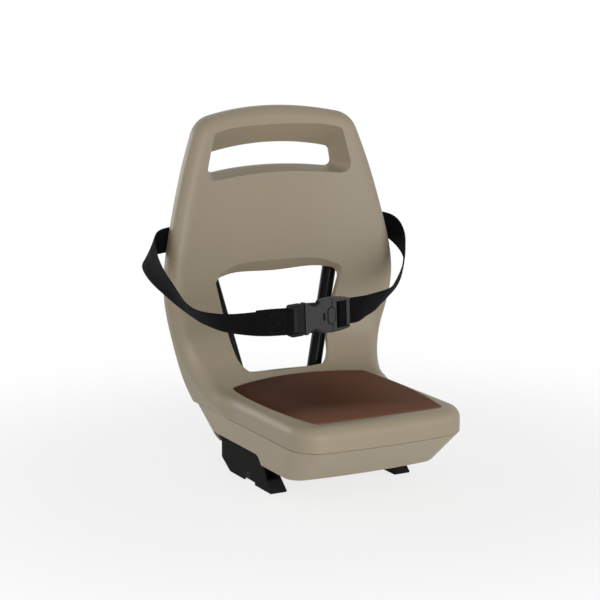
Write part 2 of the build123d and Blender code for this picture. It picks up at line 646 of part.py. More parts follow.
def clamp_channel():
    """Right-hand carrier clamp: channel open below, with a flared toe and a tab."""
    low = CLAMP_LOW_Z
    with BuildSketch(Plane.YZ) as sketch:
        with BuildLine():
            Polyline(
                (CLAMP_FRONT_Y, CLAMP_TOP_Z), (CLAMP_FRONT_Y, low + 24), (CLAMP_FRONT_Y - 4, low + 15),
                (CLAMP_TOE_Y, low + 2), (CLAMP_TOE_Y + 2, low), (CLAMP_REAR_Y - 23, low),
                (CLAMP_REAR_Y, low + 13), (CLAMP_REAR_Y, CLAMP_TOP_Z - 8), (CLAMP_TAB_Y, CLAMP_TOP_Z - 8),
                (CLAMP_TAB_Y, CLAMP_TOP_Z), close=True)
        make_face()
        front = [vertex for vertex in sketch.vertices() if abs(vertex.X - CLAMP_FRONT_Y) < 0.01]
        fillet(front, 8.5)
    solid = Pos(CLAMP_X, 0, 0) * extrude(sketch.sketch, CLAMP_WIDTH / 2, both=True)
    upper = [edge for edge in solid.edges().filter_by(Axis.Y) if edge.center().Z > CLAMP_TOP_Z - 1]
    solid = rounded(solid, upper, 2.5)
    half = CLAMP_WIDTH / 2 - CLAMP_WALL
    inside = block((CLAMP_X - half, CLAMP_X + half), (-200, 200), (low - 5, CLAMP_TOP_Z - CLAMP_WALL))
    plate_top = RAIL_Z - RAIL_R - 0.4
    plate_rear = [(CLAMP_FRONT_Y - 1.5, plate_top), (CLAMP_TOE_Y + 5, low - 5)]
    with BuildSketch(Plane.YZ) as plate:
        with BuildLine():
            Polyline(*plate_rear, (CLAMP_TOE_Y - 20, low - 5), (CLAMP_TOE_Y - 20, plate_top), close=True)
        make_face()
    solid = solid - (inside - extrude(plate.sketch, 200, both=True))
    notch = block((CLAMP_X, CLAMP_X + 40), (LOCK_Y[0] + 2, LOCK_Y[1] - 10), (low - 5, low + 4))
    upright = [edge for edge in notch.edges().filter_by(Axis.X) if edge.center().Z > low]
    solid = solid - fillet(upright, 3)
    solid = solid - Pos(CLAMP_X, CROSS_BOLT_Y, CROSS_BOLT_Z) * Rot(0, 90, 0) * Cylinder(BOLT_R + 0.1, 60)
    sink_h = CLAMP_WALL - 0.2
    sink = Cone(BOLT_R + 0.1, CROSS_HEAD_R + 0.1, sink_h, align=(Align.CENTER, Align.CENTER, Align.MAX))
    solid = solid - Pos(CLAMP_X + CLAMP_WIDTH / 2, CROSS_BOLT_Y, CROSS_BOLT_Z) * Rot(0, 90, 0) * sink
    for y in CLAMP_BOLT_Y:
        solid = solid - post(CLAMP_X, y, BOLT_R + 0.1, 0, 30)
    return solid


def rail_liner():
    """Rubber saddle above the carrier rail."""
    half = CLAMP_WIDTH / 2 - CLAMP_WALL
    top = CLAMP_TOP_Z - CLAMP_WALL
    liner = block((CLAMP_X - half, CLAMP_X + half), LINER_Y, (RAIL_Z + RAIL_R / 2, top))
    rail = Pos(CLAMP_X, sum(LINER_Y) / 2, RAIL_Z) * Rot(90, 0, 0) * Cylinder(RAIL_R, 200)
    return liner - rail


def rail_lock():
    """Block under the carrier rail, carried by the cross bolt."""
    half = CLAMP_WIDTH / 2 - CLAMP_WALL - 0.1
    lock = block((CLAMP_X - half, CLAMP_X + half), LOCK_Y, (CLAMP_LOW_Z + 2, RAIL_Z - RAIL_R / 2))
    lock = fillet(lock.edges().filter_by(Axis.X), 3)
    rail = Pos(CLAMP_X, sum(LOCK_Y) / 2, RAIL_Z) * Rot(90, 0, 0) * Cylinder(RAIL_R + 0.1, 200)
    lock = lock - rail
    return lock - Pos(CLAMP_X, CROSS_BOLT_Y, CROSS_BOLT_Z) * Rot(0, 90, 0) * Cylinder(BOLT_R + 0.1, 60)


def clamp_fasteners():
    """Bolts, washers and nuts of the right-hand clamp, and its cross bolt and lock nut."""
    seat = CLAMP_TOP_Z - CLAMP_WALL
    washer_z = PLATE_TOP + 0.1
    bolts = []
    washers = []
    nuts = []
    for y in CLAMP_BOLT_Y:
        head = Cylinder(6.5, 2.5, align=(Align.CENTER, Align.CENTER, Align.MAX))
        head = fillet(head.edges().filter_by(GeomType.CIRCLE).sort_by(Axis.Z)[0], 1.6)
        shank = Cylinder(BOLT_R, washer_z + 10 - seat, align=(Align.CENTER, Align.CENTER, Align.MIN))
        bolts.append(Pos(CLAMP_X, y, seat) * (head + shank))
        washers.append(Pos(CLAMP_X, y, washer_z) * round_washer(BOLT_R + 0.05, 8.0, 1.6))
        nuts.append(Pos(CLAMP_X, y, washer_z + 1.6) * hex_nut(BOLT_R + 0.02, 10.0, 5.0))
    outer = CLAMP_X + CLAMP_WIDTH / 2
    inner = CLAMP_X - CLAMP_WIDTH / 2
    spot = Pos(outer, CROSS_BOLT_Y, CROSS_BOLT_Z) * Rot(0, 90, 0)
    cross = spot * flush_screw(BOLT_R, CLAMP_WIDTH + 7, CROSS_HEAD_R, CLAMP_WALL - 0.2)
    lock = Pos(inner, CROSS_BOLT_Y, CROSS_BOLT_Z) * Rot(0, -90, 0) * hex_nut(BOLT_R + 0.02, 10.0, 5.5)
    return bolts, washers, nuts, cross, lock


def seat_pad():
    """Foam pad in the recess of the seat, with a softly rounded edge."""
    growth = PAD_RECESS - PAD_HEIGHT
    pad = extrude(pad_outline(0.0), 200) & occupant_space(PAD_RECESS)
    pad = max((pad - occupant_space(growth)).solids(), key=lambda solid: solid.volume)
    return rounded(pad, face_edges(pad, BACK_RADIUS + growth, SEAT_TOP_Z - growth), 0.6 * PAD_HEIGHT)


def tray_screw_set():
    """Screws that join the tray to the shell from below."""
    screws = []
    for x, y in TRAY_SCREWS:
        spot = Pos(x, y, 6.0) * Rot(180, 0, 0)
        screws.append(spot * pan_screw(SCREW_R + 0.2, BOSS_JOINT_Z + 6, SCREW_HEAD_R + 0.6, 3.0))
    return screws


def buckle_plane():
    """Plane of the buckle: x along the belt to the right, y up, z outward."""
    along = Vector(*BUCKLE_DIRECTION).normalized()
    outward = along.cross(Vector(0, 0, 1)).normalized()
    return Plane(BUCKLE_CENTRE, x_dir=along, z_dir=outward)


def buckle_socket():
    """Socket of the side-release buckle with its two webbing bars."""
    half = BUCKLE_WIDTH / 2
    end = BUCKLE_LENGTH / 2
    deep = BUCKLE_THICK / 2
    with BuildSketch() as sketch:
        with BuildLine():
            mouth = Line((-21, -half + 1.5), (-21, half - 1.5))
            lip = Line(mouth @ 1, (-17, half - 1.5))
            scallop = ThreePointArc(lip @ 1, (-8, half - 6.2), (1, half - 1.2))
            flank = Spline(scallop @ 1, (10, half), (22, half), (end - 4, half - 2))
            corner = ThreePointArc(flank @ 1, (end - 0.8, half - 3.5), (end, half - 7))
            for edge in (lip, scallop, flank, corner):
                mirror(edge, about=Plane.XZ)
            Line(corner @ 1, (end, -half + 7))
        make_face()
    body = extrude(sketch.sketch, deep, both=True)
    rims = [edge for edge in body.edges() if abs(abs(edge.center().Z) - deep) < 0.01]
    rims = [edge for edge in rims if edge.center().X > -20.9]
    body = rounded(body, rims, 2.2)
    body = body - block((-22, 8), (6 - half, half - 6), (-3.4, 3.4))
    for side in (-1, 1):
        window = block((-17.2, 0.6), sorted((side * 10, side * 30)), (-3.4, 3.4))
        body = body - window
    inside = WEB_WIDTH / 2 + 0.6
    body = body - block((21, 37), (-inside, inside), (-deep - 1, deep + 1))
    body = body - block((36.9, 60), (-inside, inside), (3, deep + 1))
    body = body - block((36.9, 60), (-inside, inside), (-deep - 1, -3))
    bar = block((27, 31), (-inside - 1, inside + 1), (-2.2, 2.2))
    body = body + fillet(bar.edges().filter_by(Axis.Y), 1.8)
    oval = extrude(Pos(13.7, 0, deep - 0.5) * Rot(0, 0, 90) * SlotOverall(19, 9), 1.2)
    body = body + fillet(oval.faces().sort_by(Axis.Z)[-1].edges(), 0.5)
    body = body - extrude(Pos(4, 0, deep - 1) * Rot(0, 0, 90) * SlotOverall(9, 2.4), 2)
    return buckle_plane() * body


def buckle_tongue():
    """Tongue of the buckle: webbing bar, guide and two sprung prongs."""
    half = BUCKLE_WIDTH / 2 - 1.5
    end = BUCKLE_LENGTH / 2
    base = block((-end, -21.4), (-half, half), (-5.5, 5.5))
    base = rounded(base.solids()[0], base.edges().filter_by(Axis.Z), 4.0)
    flat = [edge for edge in base.edges() if abs(abs(edge.center().Z) - 5.5) < 0.01]
    base = rounded(base, flat, 1.8)
    inside = WEB_WIDTH / 2 + 0.6
    base = base - block((-60, -30), (-inside, inside), (-10, 10))
    bar = block((-end, -36), (-inside - 1, inside + 1), (-2.3, 2.3))
    base = base + fillet(bar.edges().filter_by(Axis.Y), 2.0)
    base = base + block((-22, 4), (-2.5, 2.5), (-2.8, 2.8))
    with BuildSketch() as sketch:
        with BuildLine():
            Polyline(
                (-22, 8), (-4, 8.4), (4, 10), (5.2, 12.2), (0.4, 13.4), (-4, 16.6),
                (-15.5, 17.4), (-16.6, 16.6), (-16.6, 13.2), (-22, 12.6), close=True)
        make_face()
    prong = extrude(sketch.sketch, 2.9, both=True)
    base = base + prong + mirror(prong, about=Plane.XZ)
    return buckle_plane() * base


def ribbon(points, ups):
    """Webbing laid along a line of points, its width kept near the given directions."""
    points = [Vector(*point) for point in points]
    sections = []
    last = len(points) - 1
    for index, (point, up) in enumerate(zip(points, ups)):
        run = (points[min(index + 1, last)] - points[max(index - 1, 0)]).normalized()
        across = Vector(*up)
        across = (across - run * across.dot(run)).normalized()
        sections.append(Plane(point, x_dir=across, z_dir=run) * Rectangle(WEB_WIDTH, WEB_THICK))
    return loft(sections, ruled=True)


def leg_loop(side, join):
    """Webbing points round a hoop leg, from the front of the join to its rear."""
    centre = hoop_leg_at(join[2])
    up = Vector(*hoop_leg_at(join[2] + 10)) - Vector(*centre)
    up = Vector(side * up.X, up.Y, up.Z).normalized()
    out = Vector(side, 0, 0)
    out = (out - up * out.dot(up)).normalized()
    rear = Vector(0, 1, 0)
    rear = (rear - up * rear.dot(up) - out * rear.dot(out)).normalized()
    origin = Vector(side * centre[0], centre[1], centre[2])
    radius = TUBE_R + 0.7 + WEB_THICK / 2
    reach = join[0] - centre[0]
    drop = join[1] - centre[1]
    lean = math.atan2(drop, reach)
    spread = math.acos(radius / math.hypot(reach, drop))
    start = lean - spread
    stop = lean + spread - 2 * math.pi
    count = 17
    points = []
    for index in range(count):
        angle = start + (stop - start) * index / (count - 1)
        points.append(origin + out * (radius * math.cos(angle)) + rear * (radius * math.sin(angle)))
    return points, [up] * count


def shifted(points, distance):
    """Points moved sideways by a distance, level with the ground."""
    moved = []
    last = len(points) - 1
    for index, point in enumerate(points):
        run = points[min(index + 1, last)] - points[max(index - 1, 0)]
        side = Vector(run.Y, -run.X, 0).normalized()
        moved.append(point + side * distance)
    return moved


def local_point(x, z):
    """Point of the belt line in the buckle plane."""
    return buckle_plane().from_local_coords(Vector(x, 0, z))


def belt_line(knots, count):
    """Smooth free run of webbing through its knots."""
    curve = Spline(*[tuple(knot) for knot in knots])
    return [curve @ (index / (count - 1)) for index in range(count)]


def stations(points):
    """Distance of each point along its line, as a share of the whole."""
    places = [0.0]
    for before, after in zip(points, points[1:]):
        places.append(places[-1] + (Vector(*after) - Vector(*before)).length)
    return [place / places[-1] for place in places]


def leaning(points, knots, leans, side):
    """Width directions along a line of webbing whose top edge leans away from the rider."""
    marks = stations(knots)
    last = len(points) - 1
    found = []
    for index, place in enumerate(stations(points)):
        near = max(1, sum(mark < place for mark in marks[:-1]))
        share = (place - marks[near - 1]) / (marks[near] - marks[near - 1])
        lean = math.radians(leans[near - 1] + share * (leans[near] - leans[near - 1]))
        run = points[min(index + 1, last)] - points[max(index - 1, 0)]
        outward = Vector(-side * run.Y, side * run.X, 0).normalized()
        found.append(Vector(0, 0, math.cos(lean)) + outward * math.sin(lean))
    return found


def left_strap():
    """Webbing sewn round the left hoop leg and round the tongue bar."""
    centre = -BUCKLE_LENGTH / 2 + 2.5
    join = local_point(centre - 8.5, LAYER / 2)
    start = Vector(-BELT_JOIN[0], BELT_JOIN[1] + LAYER / 2, BELT_JOIN[2])
    knots = [start, *LEFT_KNOTS, join]
    free = belt_line(knots, 44)
    free_ups = leaning(free, knots, LEFT_LEAN, -1)
    loop, loop_ups = leg_loop(-1, BELT_JOIN)
    anchor = list(reversed(shifted(free[:7], -LAYER)))
    bar = []
    radius = 2.8 + WEB_THICK / 2
    spread = math.acos(radius / 8.5)
    for index in range(13):
        angle = math.pi - spread - 2 * (math.pi - spread) * index / 12
        bar.append(local_point(centre + radius * math.cos(angle), radius * math.sin(angle)))
    fold = list(reversed(shifted(free[-8:], -LAYER)))
    points = anchor + loop + free + bar + fold
    side_up = buckle_plane().y_dir
    ups = free_ups[6::-1] + loop_ups + free_ups[:-1] + [side_up] * (len(bar) + 1) + free_ups[:-9:-1]
    return ribbon(points, ups)


def right_strap():
    """Webbing sewn round the right hoop leg, threaded through the socket bars to a loose tail."""
    start = Vector(BELT_JOIN[0], BELT_JOIN[1] + LAYER / 2, BELT_JOIN[2])
    entry = [local_point(62, -5.4), local_point(56, -4.2), local_point(49, -3.9)]
    knots = [start, *RIGHT_KNOTS, *entry]
    free = belt_line(knots, 46)
    free_ups = leaning(free, knots, RIGHT_LEAN, 1)
    loop, loop_ups = leg_loop(1, BELT_JOIN)
    anchor = list(reversed(shifted(free[:7], LAYER)))
    threading = [(43.5, -4.1), (39, -4.2), (36.0, -3.9), (34.5, -1.7), (33.3, 1.2)]
    radius = 2.2 + 0.35 + WEB_THICK / 2
    for degrees in range(45, 256, 21):
        angle = math.radians(degrees)
        threading.append((29 + radius * math.cos(angle), radius * math.sin(angle)))
    threading += [(31.5, -4.4), (35.2, -5.9), (39, -6.1), (43.5, -5.9)]
    threaded = [local_point(x, z) for x, z in threading]
    tail = list(reversed(shifted(free[-5:], LAYER)))
    points = anchor + loop + free + threaded + tail
    side_up = buckle_plane().y_dir
    ups = free_ups[6::-1] + loop_ups + free_ups[:-1] + [side_up] * (len(threaded) + 2) + free_ups[-2:-6:-1]
    return ribbon(points, ups)


def flipped(shape):
    """Left-hand twin of a right-hand piece."""
    return mirror(shape, about=Plane.YZ)


def save(node, *solids):
    """One file for a node, a single piece or a group of like pieces."""
    shape = solids[0] if len(solids) == 1 else Compound(children=list(solids))
    export_step(shape, "parts/" + node + ".step")


save("seat_shell", seat_shell())
save("base_tray", base_tray())
save("seat_pad", seat_pad())
save("tray_screws", *tray_screw_set())
save("mounting_plate", mounting_plate())
save("backrest_hoop", backrest_hoop())
hoop_clips, hoop_clip_screws = clip_set()
save("hoop_clips", *hoop_clips)
save("hoop_clip_screws", *hoop_clip_screws)
plate_straps, plate_strap_bolts = plate_strap_set()
save("plate_straps", *plate_straps)
save("plate_strap_bolts", *plate_strap_bolts)

channel = clamp_channel()
liner = rail_liner()
lock_block = rail_lock()
clamp_bolts, clamp_washers, clamp_nuts, cross_bolt, lock_nut = clamp_fasteners()
save("right_clamp_channel", channel)
save("left_clamp_channel", flipped(channel))
save("right_rail_liner", liner)
save("left_rail_liner", flipped(liner))
save("right_rail_lock", lock_block)
save("left_rail_lock", flipped(lock_block))
save("right_clamp_bolts", *clamp_bolts)
save("left_clamp_bolts", *[flipped(bolt) for bolt in clamp_bolts])
save("right_clamp_washers", *clamp_washers)
save("left_clamp_washers", *[flipped(washer) for washer in clamp_washers])
save("right_clamp_nuts", *clamp_nuts)
save("left_clamp_nuts", *[flipped(nut) for nut in clamp_nuts])
save("right_cross_bolt", cross_bolt)
save("left_cross_bolt", flipped(cross_bolt))
save("right_lock_nut", lock_nut)
save("left_lock_nut", flipped(lock_nut))

save("left_strap", left_strap())
save("right_strap", right_strap())
save("buckle_socket", buckle_socket())
save("buckle_tongue", buckle_tongue())
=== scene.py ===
"""Looks of a child seat for a bicycle carrier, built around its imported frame."""

import json
import logging
import math
from dataclasses import dataclass, field
from enum import Enum
from typing import Optional, Union

import bpy
import numpy as np
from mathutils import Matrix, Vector


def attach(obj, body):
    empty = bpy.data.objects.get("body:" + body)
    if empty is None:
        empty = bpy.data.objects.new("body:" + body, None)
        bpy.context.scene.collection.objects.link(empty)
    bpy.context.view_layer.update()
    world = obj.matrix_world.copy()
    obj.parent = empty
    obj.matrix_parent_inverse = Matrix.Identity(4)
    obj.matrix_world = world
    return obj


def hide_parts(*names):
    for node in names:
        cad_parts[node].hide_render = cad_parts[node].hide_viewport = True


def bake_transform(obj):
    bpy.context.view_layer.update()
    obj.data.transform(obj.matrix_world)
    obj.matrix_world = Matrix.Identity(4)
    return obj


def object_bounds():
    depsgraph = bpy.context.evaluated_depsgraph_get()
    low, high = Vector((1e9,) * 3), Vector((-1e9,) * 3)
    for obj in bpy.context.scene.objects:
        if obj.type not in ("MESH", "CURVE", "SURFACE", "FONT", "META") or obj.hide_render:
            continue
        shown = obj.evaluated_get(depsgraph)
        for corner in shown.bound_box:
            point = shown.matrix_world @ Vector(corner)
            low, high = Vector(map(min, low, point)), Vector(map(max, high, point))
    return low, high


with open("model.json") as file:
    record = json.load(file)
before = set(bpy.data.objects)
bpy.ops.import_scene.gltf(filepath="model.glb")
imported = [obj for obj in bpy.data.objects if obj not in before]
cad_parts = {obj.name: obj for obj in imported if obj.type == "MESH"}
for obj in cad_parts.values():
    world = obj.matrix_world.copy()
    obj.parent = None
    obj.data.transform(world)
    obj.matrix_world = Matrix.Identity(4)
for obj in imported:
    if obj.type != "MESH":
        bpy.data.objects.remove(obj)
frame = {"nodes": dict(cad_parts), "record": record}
CAD_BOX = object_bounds()

LOG = logging.getLogger("child_seat")
SEAT_BODY = "seat"
TONGUE_BODY = "tongue"

Array = np.ndarray
Colour = tuple[float, float, float]
Point = tuple[float, float, float]
Spots = tuple[tuple[float, float], ...]
Input = Union[bpy.types.NodeSocket, float, tuple]
EASE_ROWS = 15


class Slot(Enum):
    """Material slots of the record."""

    SHELL = "shell_plastic"
    TRAY = "tray_plastic"
    PAD = "pad_cover"
    WEBBING = "webbing"
    BUCKLE = "buckle_plastic"
    STEEL = "black_steel"
    LOCK = "black_plastic"
    SCREW = "black_screw"
    LINER = "liner_rubber"
    ZINC = "zinc_steel"


class Side(Enum):
    """Sides of the seat as signs along X."""

    LEFT = -1
    RIGHT = 1


class StrapPart(Enum):
    """Parts of a strap in order, from its sewn end at the hoop to its end at the buckle."""

    ANCHOR = 0
    LEG_LOOP = 1
    FREE = 2
    BAR = 3
    END = 4


@dataclass(frozen=True)
class BuckleFrame:
    """Place and directions of the closed buckle: along the belt to the right, up and outward."""

    centre: Point = (-0.0474, -0.083, 0.183)
    heading: Point = (0.9969, 0.0698, 0.0349)
    face: float = 0.0035
    # Softness of the edge of the painted shade in the buckle's grooves.
    groove_shade_soft: float = 0.0002

    def axes(self) -> tuple[Array, Array, Array]:
        """Unit directions of the buckle, square to each other.

        Returns:
            The directions along the belt, up, and outward.
        """
        along = np.array(self.heading) / np.linalg.norm(self.heading)
        outward = np.cross(along, (0.0, 0.0, 1.0))
        outward /= np.linalg.norm(outward)
        return along, np.cross(outward, along), outward


class Board:
    """Lays nodes into one node tree and joins them."""

    def __init__(self, tree: bpy.types.NodeTree) -> None:
        """Board on an existing tree."""
        self.tree = tree

    def add(self, kind: str, inputs: dict[Union[str, int], Input], **settings: object) -> bpy.types.Node:
        """One node with its settings, and a value or a link on each named input.

        Args:
            kind: Type of the node.
            inputs: Value or output socket for each input, by name or place.
            **settings: Properties of the node.

        Returns:
            The new node.
        """
        node = self.tree.nodes.new(kind)
        for name, value in settings.items():
            setattr(node, name, value)
        for key, value in inputs.items():
            if isinstance(value, bpy.types.NodeSocket):
                self.tree.links.new(value, node.inputs[key])
            else:
                node.inputs[key].default_value = value
        return node

    def math(
            self, operation: str, first: Input, second: Input = 0.0,
            third: Input = 0.0) -> bpy.types.NodeSocket:
        """Output of a Math node on up to three values."""
        return self.add("ShaderNodeMath", {0: first, 1: second, 2: third}, operation=operation).outputs[0]

    def blend(self, share: Input, low: Input, high: Input) -> bpy.types.NodeSocket:
        """Colour between two colours."""
        node = self.add("ShaderNodeMix", {0: share, 6: low, 7: high}, data_type="RGBA")
        return node.outputs[2]

    def spread(self, value: Input, low: float, high: float) -> bpy.types.NodeSocket:
        """Value from 0 to 1 carried to a range."""
        return self.add("ShaderNodeMapRange", {0: value, 3: low, 4: high}).outputs[0]

    def under(self, value: Input, edge: float, soft: float) -> bpy.types.NodeSocket:
        """Mask that is 1 below an edge and falls to 0 over a soft step."""
        inputs = {0: value, 1: edge, 2: edge + soft, 3: 1.0, 4: 0.0}
        return self.add("ShaderNodeMapRange", inputs).outputs[0]

    def eased(self, value: Input, start: Input, end: Input, low: Input, high: Input) -> bpy.types.NodeSocket:
        """Value between two ends carried to a range with soft ends."""
        inputs = {0: value, 1: start, 2: end, 3: low, 4: high}
        return self.add("ShaderNodeMapRange", inputs, interpolation_type="SMOOTHSTEP").outputs[0]

    def dot(self, first: Input, second: Input) -> bpy.types.NodeSocket:
        """Product of two vectors as a number."""
        node = self.add("ShaderNodeVectorMath", {0: first, 1: second}, operation="DOT_PRODUCT")
        return node.outputs["Value"]

    def oval(self, aside: Input, height: Input, half: Input, radius: Input) -> bpy.types.NodeSocket:
        """Distance from an upright oval, less than 0 inside it.

        All points of an oval lie at one distance from a short upright line.

        Args:
            aside: Distance beside that line.
            height: Distance above or below the line's middle.
            half: Half the length of the line.
            radius: Radius of the oval's ends.

        Returns:
            The distance from the oval.
        """
        above = self.math("MAXIMUM", self.math("SUBTRACT", height, half), 0.0)
        square = self.math("ADD", self.math("MULTIPLY", aside, aside), self.math("MULTIPLY", above, above))
        return self.math("SUBTRACT", self.math("SQRT", square), radius)

    def seen(self) -> bpy.types.NodeSocket:
        """Mask of the rays that look at a surface, straight, mirrored or through glass.

        Returns:
            1 for such a ray and 0 for one that only brings light.
        """
        path = self.add("ShaderNodeLightPath", {})
        seen = self.math("MAXIMUM", path.outputs["Is Camera Ray"], path.outputs["Is Glossy Ray"])
        return self.math("MAXIMUM", seen, path.outputs["Is Transmission Ray"])


def new_group(
        name: str, inputs: dict[str, float], outputs: tuple[str, ...]) -> tuple[Board, dict, bpy.types.Node]:
    """Empty shader node group with value sockets.

    Args:
        name: Name of the group.
        inputs: Default of each input.
        outputs: Names of the outputs.

    Returns:
        The board of the group, its input sockets by name, and its output node.
    """
    tree = bpy.data.node_groups.new(name, "ShaderNodeTree")
    for label, default in inputs.items():
        socket = tree.interface.new_socket(label, in_out="INPUT", socket_type="NodeSocketFloat")
        socket.default_value = default
    for label in outputs:
        tree.interface.new_socket(label, in_out="OUTPUT", socket_type="NodeSocketFloat")
    board = Board(tree)
    entry = board.add("NodeGroupInput", {})
    leave = board.add("NodeGroupOutput", {})
    return board, {label: entry.outputs[label] for label in inputs}, leave


class Effects:
    """Shader node groups that several finishes share."""

    def __init__(self) -> None:
        """Builds each group once."""
        self.grain = self.moulded_grain()
        self.handling = self.handling_marks()
        self.weave = self.webbing_weave()
        self.lines = self.buckle_groove_shade()
        self.front_sheen = self.painted_front_sheen()

    @staticmethod
    def moulded_grain() -> bpy.types.NodeTree:
        """Fine grain of a tool surface: noise and cell walls, on the piece's own coordinates.

        Returns:
            The group.
        """
        board, value, leave = new_group("moulded_grain", {"Scale": 900.0, "Cells": 0.5}, ("Height",))
        place = board.add("ShaderNodeTexCoord", {}).outputs["Object"]
        noise = board.add("ShaderNodeTexNoise", {"Vector": place, "Scale": value["Scale"], "Detail": 3.0})
        cells = board.add("ShaderNodeTexVoronoi", {"Vector": place, "Scale": value["Scale"]})
        walls = board.math("MULTIPLY", cells.outputs["Distance"], value["Cells"])
        height = board.math("ADD", noise.outputs[0], walls)
        board.tree.links.new(height, leave.inputs["Height"])
        return board.tree

    @staticmethod
    def handling_marks() -> bpy.types.NodeTree:
        """Slow changes of tone and gloss from handling and from the melt's flow.

        Returns:
            The group.
        """
        inputs = {"Scale": 8.0, "Finer": 7.0}
        board, value, leave = new_group("handling_marks", inputs, ("Tone", "Gloss"))
        place = board.add("ShaderNodeTexCoord", {}).outputs["Object"]
        tone = board.add("ShaderNodeTexNoise", {"Vector": place, "Scale": value["Scale"], "Detail": 4.0})
        fine = board.math("MULTIPLY", value["Scale"], value["Finer"])
        gloss = board.add("ShaderNodeTexNoise", {
            "Vector": place, "Scale": fine, "Detail": 6.0, "Roughness": 0.65})
        board.tree.links.new(tone.outputs[0], leave.inputs["Tone"])
        board.tree.links.new(gloss.outputs[0], leave.inputs["Gloss"])
        return board.tree

    @staticmethod
    def webbing_weave() -> bpy.types.NodeTree:
        """Ribbed weave on the strap's own map: ribs across it, offset from one warp cord to the next.

        Returns:
            The group.
        """
        inputs = {"Pitch": 0.0016, "Cord": 0.0012}
        board, value, leave = new_group("webbing_weave", inputs, ("Height", "Thread"))
        place = board.add("ShaderNodeUVMap", {}, uv_map="strap").outputs[0]
        split = board.add("ShaderNodeSeparateXYZ", {0: place})
        along = board.math("DIVIDE", split.outputs[0], value["Pitch"])
        cord = board.math("DIVIDE", split.outputs[1], value["Cord"])
        column = board.math("FLOOR", cord)
        odd = board.math("MULTIPLY", board.math("PINGPONG", column, 1.0), 0.5)
        turn = board.math("MULTIPLY", board.math("ADD", along, odd), 2 * math.pi)
        rib = board.math("MULTIPLY_ADD", board.math("SINE", turn), 0.5, 0.5)
        crown = board.math("SINE", board.math("MULTIPLY", board.math("FRACT", cord), math.pi))
        height = board.math("MULTIPLY", rib, crown)
        board.tree.links.new(height, leave.inputs["Height"])
        board.tree.links.new(rib, leave.inputs["Thread"])
        return board.tree

    @staticmethod
    def painted_front_sheen() -> bpy.types.NodeTree:
        """Painted sheen on a seat pad: paler along its front, and growing from the middle to the right,
        where light catches it.

        Returns:
            The group.
        """
        inputs = {
            "Front": -0.130, "Reach": 0.055, "Middle": -0.045, "Right": 0.085, "Right Share": 0.75,
            "Patches": 38.0}
        board, value, leave = new_group("painted_front_sheen", inputs, ("Painted Sheen",))
        place = board.add("ShaderNodeTexCoord", {}).outputs["Object"]
        split = board.add("ShaderNodeSeparateXYZ", {0: place})
        end = board.math("ADD", value["Front"], value["Reach"])
        near = board.eased(split.outputs[1], value["Front"], end, 1.0, 0.0)
        right = board.eased(split.outputs[0], value["Middle"], value["Right"], 0.0, value["Right Share"])
        patch = board.add("ShaderNodeTexNoise", {"Vector": place, "Scale": value["Patches"], "Detail": 3.0})
        uneven = board.spread(patch.outputs[0], 0.75, 1.25)
        sheen_mask = board.math("MULTIPLY", board.math("MAXIMUM", near, right), uneven)
        board.tree.links.new(board.math("MINIMUM", sheen_mask, 1.0), leave.inputs["Painted Sheen"])
        return board.tree

    @staticmethod
    def buckle_groove_shade() -> bpy.types.NodeTree:
        """Painted shade in the gaps on the buckle's outer face: round the oval button, in the pip and at the
        cap's joint.

        Returns:
            The group.
        """
        inputs = {
            "Button": 0.0137, "Button Half": 0.005, "Button Radius": 0.0049, "Pip": 0.004,
            "Pip Half": 0.0033, "Pip Radius": 0.0014, "Joint": 0.0152, "Width": 0.0006}
        board, value, leave = new_group("buckle_groove_shade", inputs, ("Line",))
        buckle = BuckleFrame()
        place = board.add("ShaderNodeTexCoord", {}).outputs["Object"]
        offset = board.add("ShaderNodeVectorMath", {0: place, 1: buckle.centre}, operation="SUBTRACT")
        along, up, outward = [board.dot(offset.outputs[0], tuple(axis)) for axis in buckle.axes()]
        height = board.math("ABSOLUTE", up)
        button, pip = [
            board.oval(board.math("SUBTRACT", along, value[name]), height, value[name + " Half"],
                       value[name + " Radius"])
            for name in ("Button", "Pip")]
        soft = buckle.groove_shade_soft
        ring = board.math("SUBTRACT", board.math("ABSOLUTE", button), value["Width"])
        line = board.math("MAXIMUM", board.under(ring, 0.0, soft), board.under(pip, 0.0, soft))
        aside = board.math("ABSOLUTE", board.math("SUBTRACT", along, value["Joint"]))
        joint = board.under(board.math("SUBTRACT", aside, value["Width"]), -soft, soft)
        joint = board.math("MULTIPLY", joint, board.math("GREATER_THAN", button, 0.0))
        line = board.math("MAXIMUM", line, joint)
        line = board.math("MULTIPLY", line, board.math("GREATER_THAN", outward, buckle.face))
        board.tree.links.new(line, leave.inputs["Line"])
        return board.tree


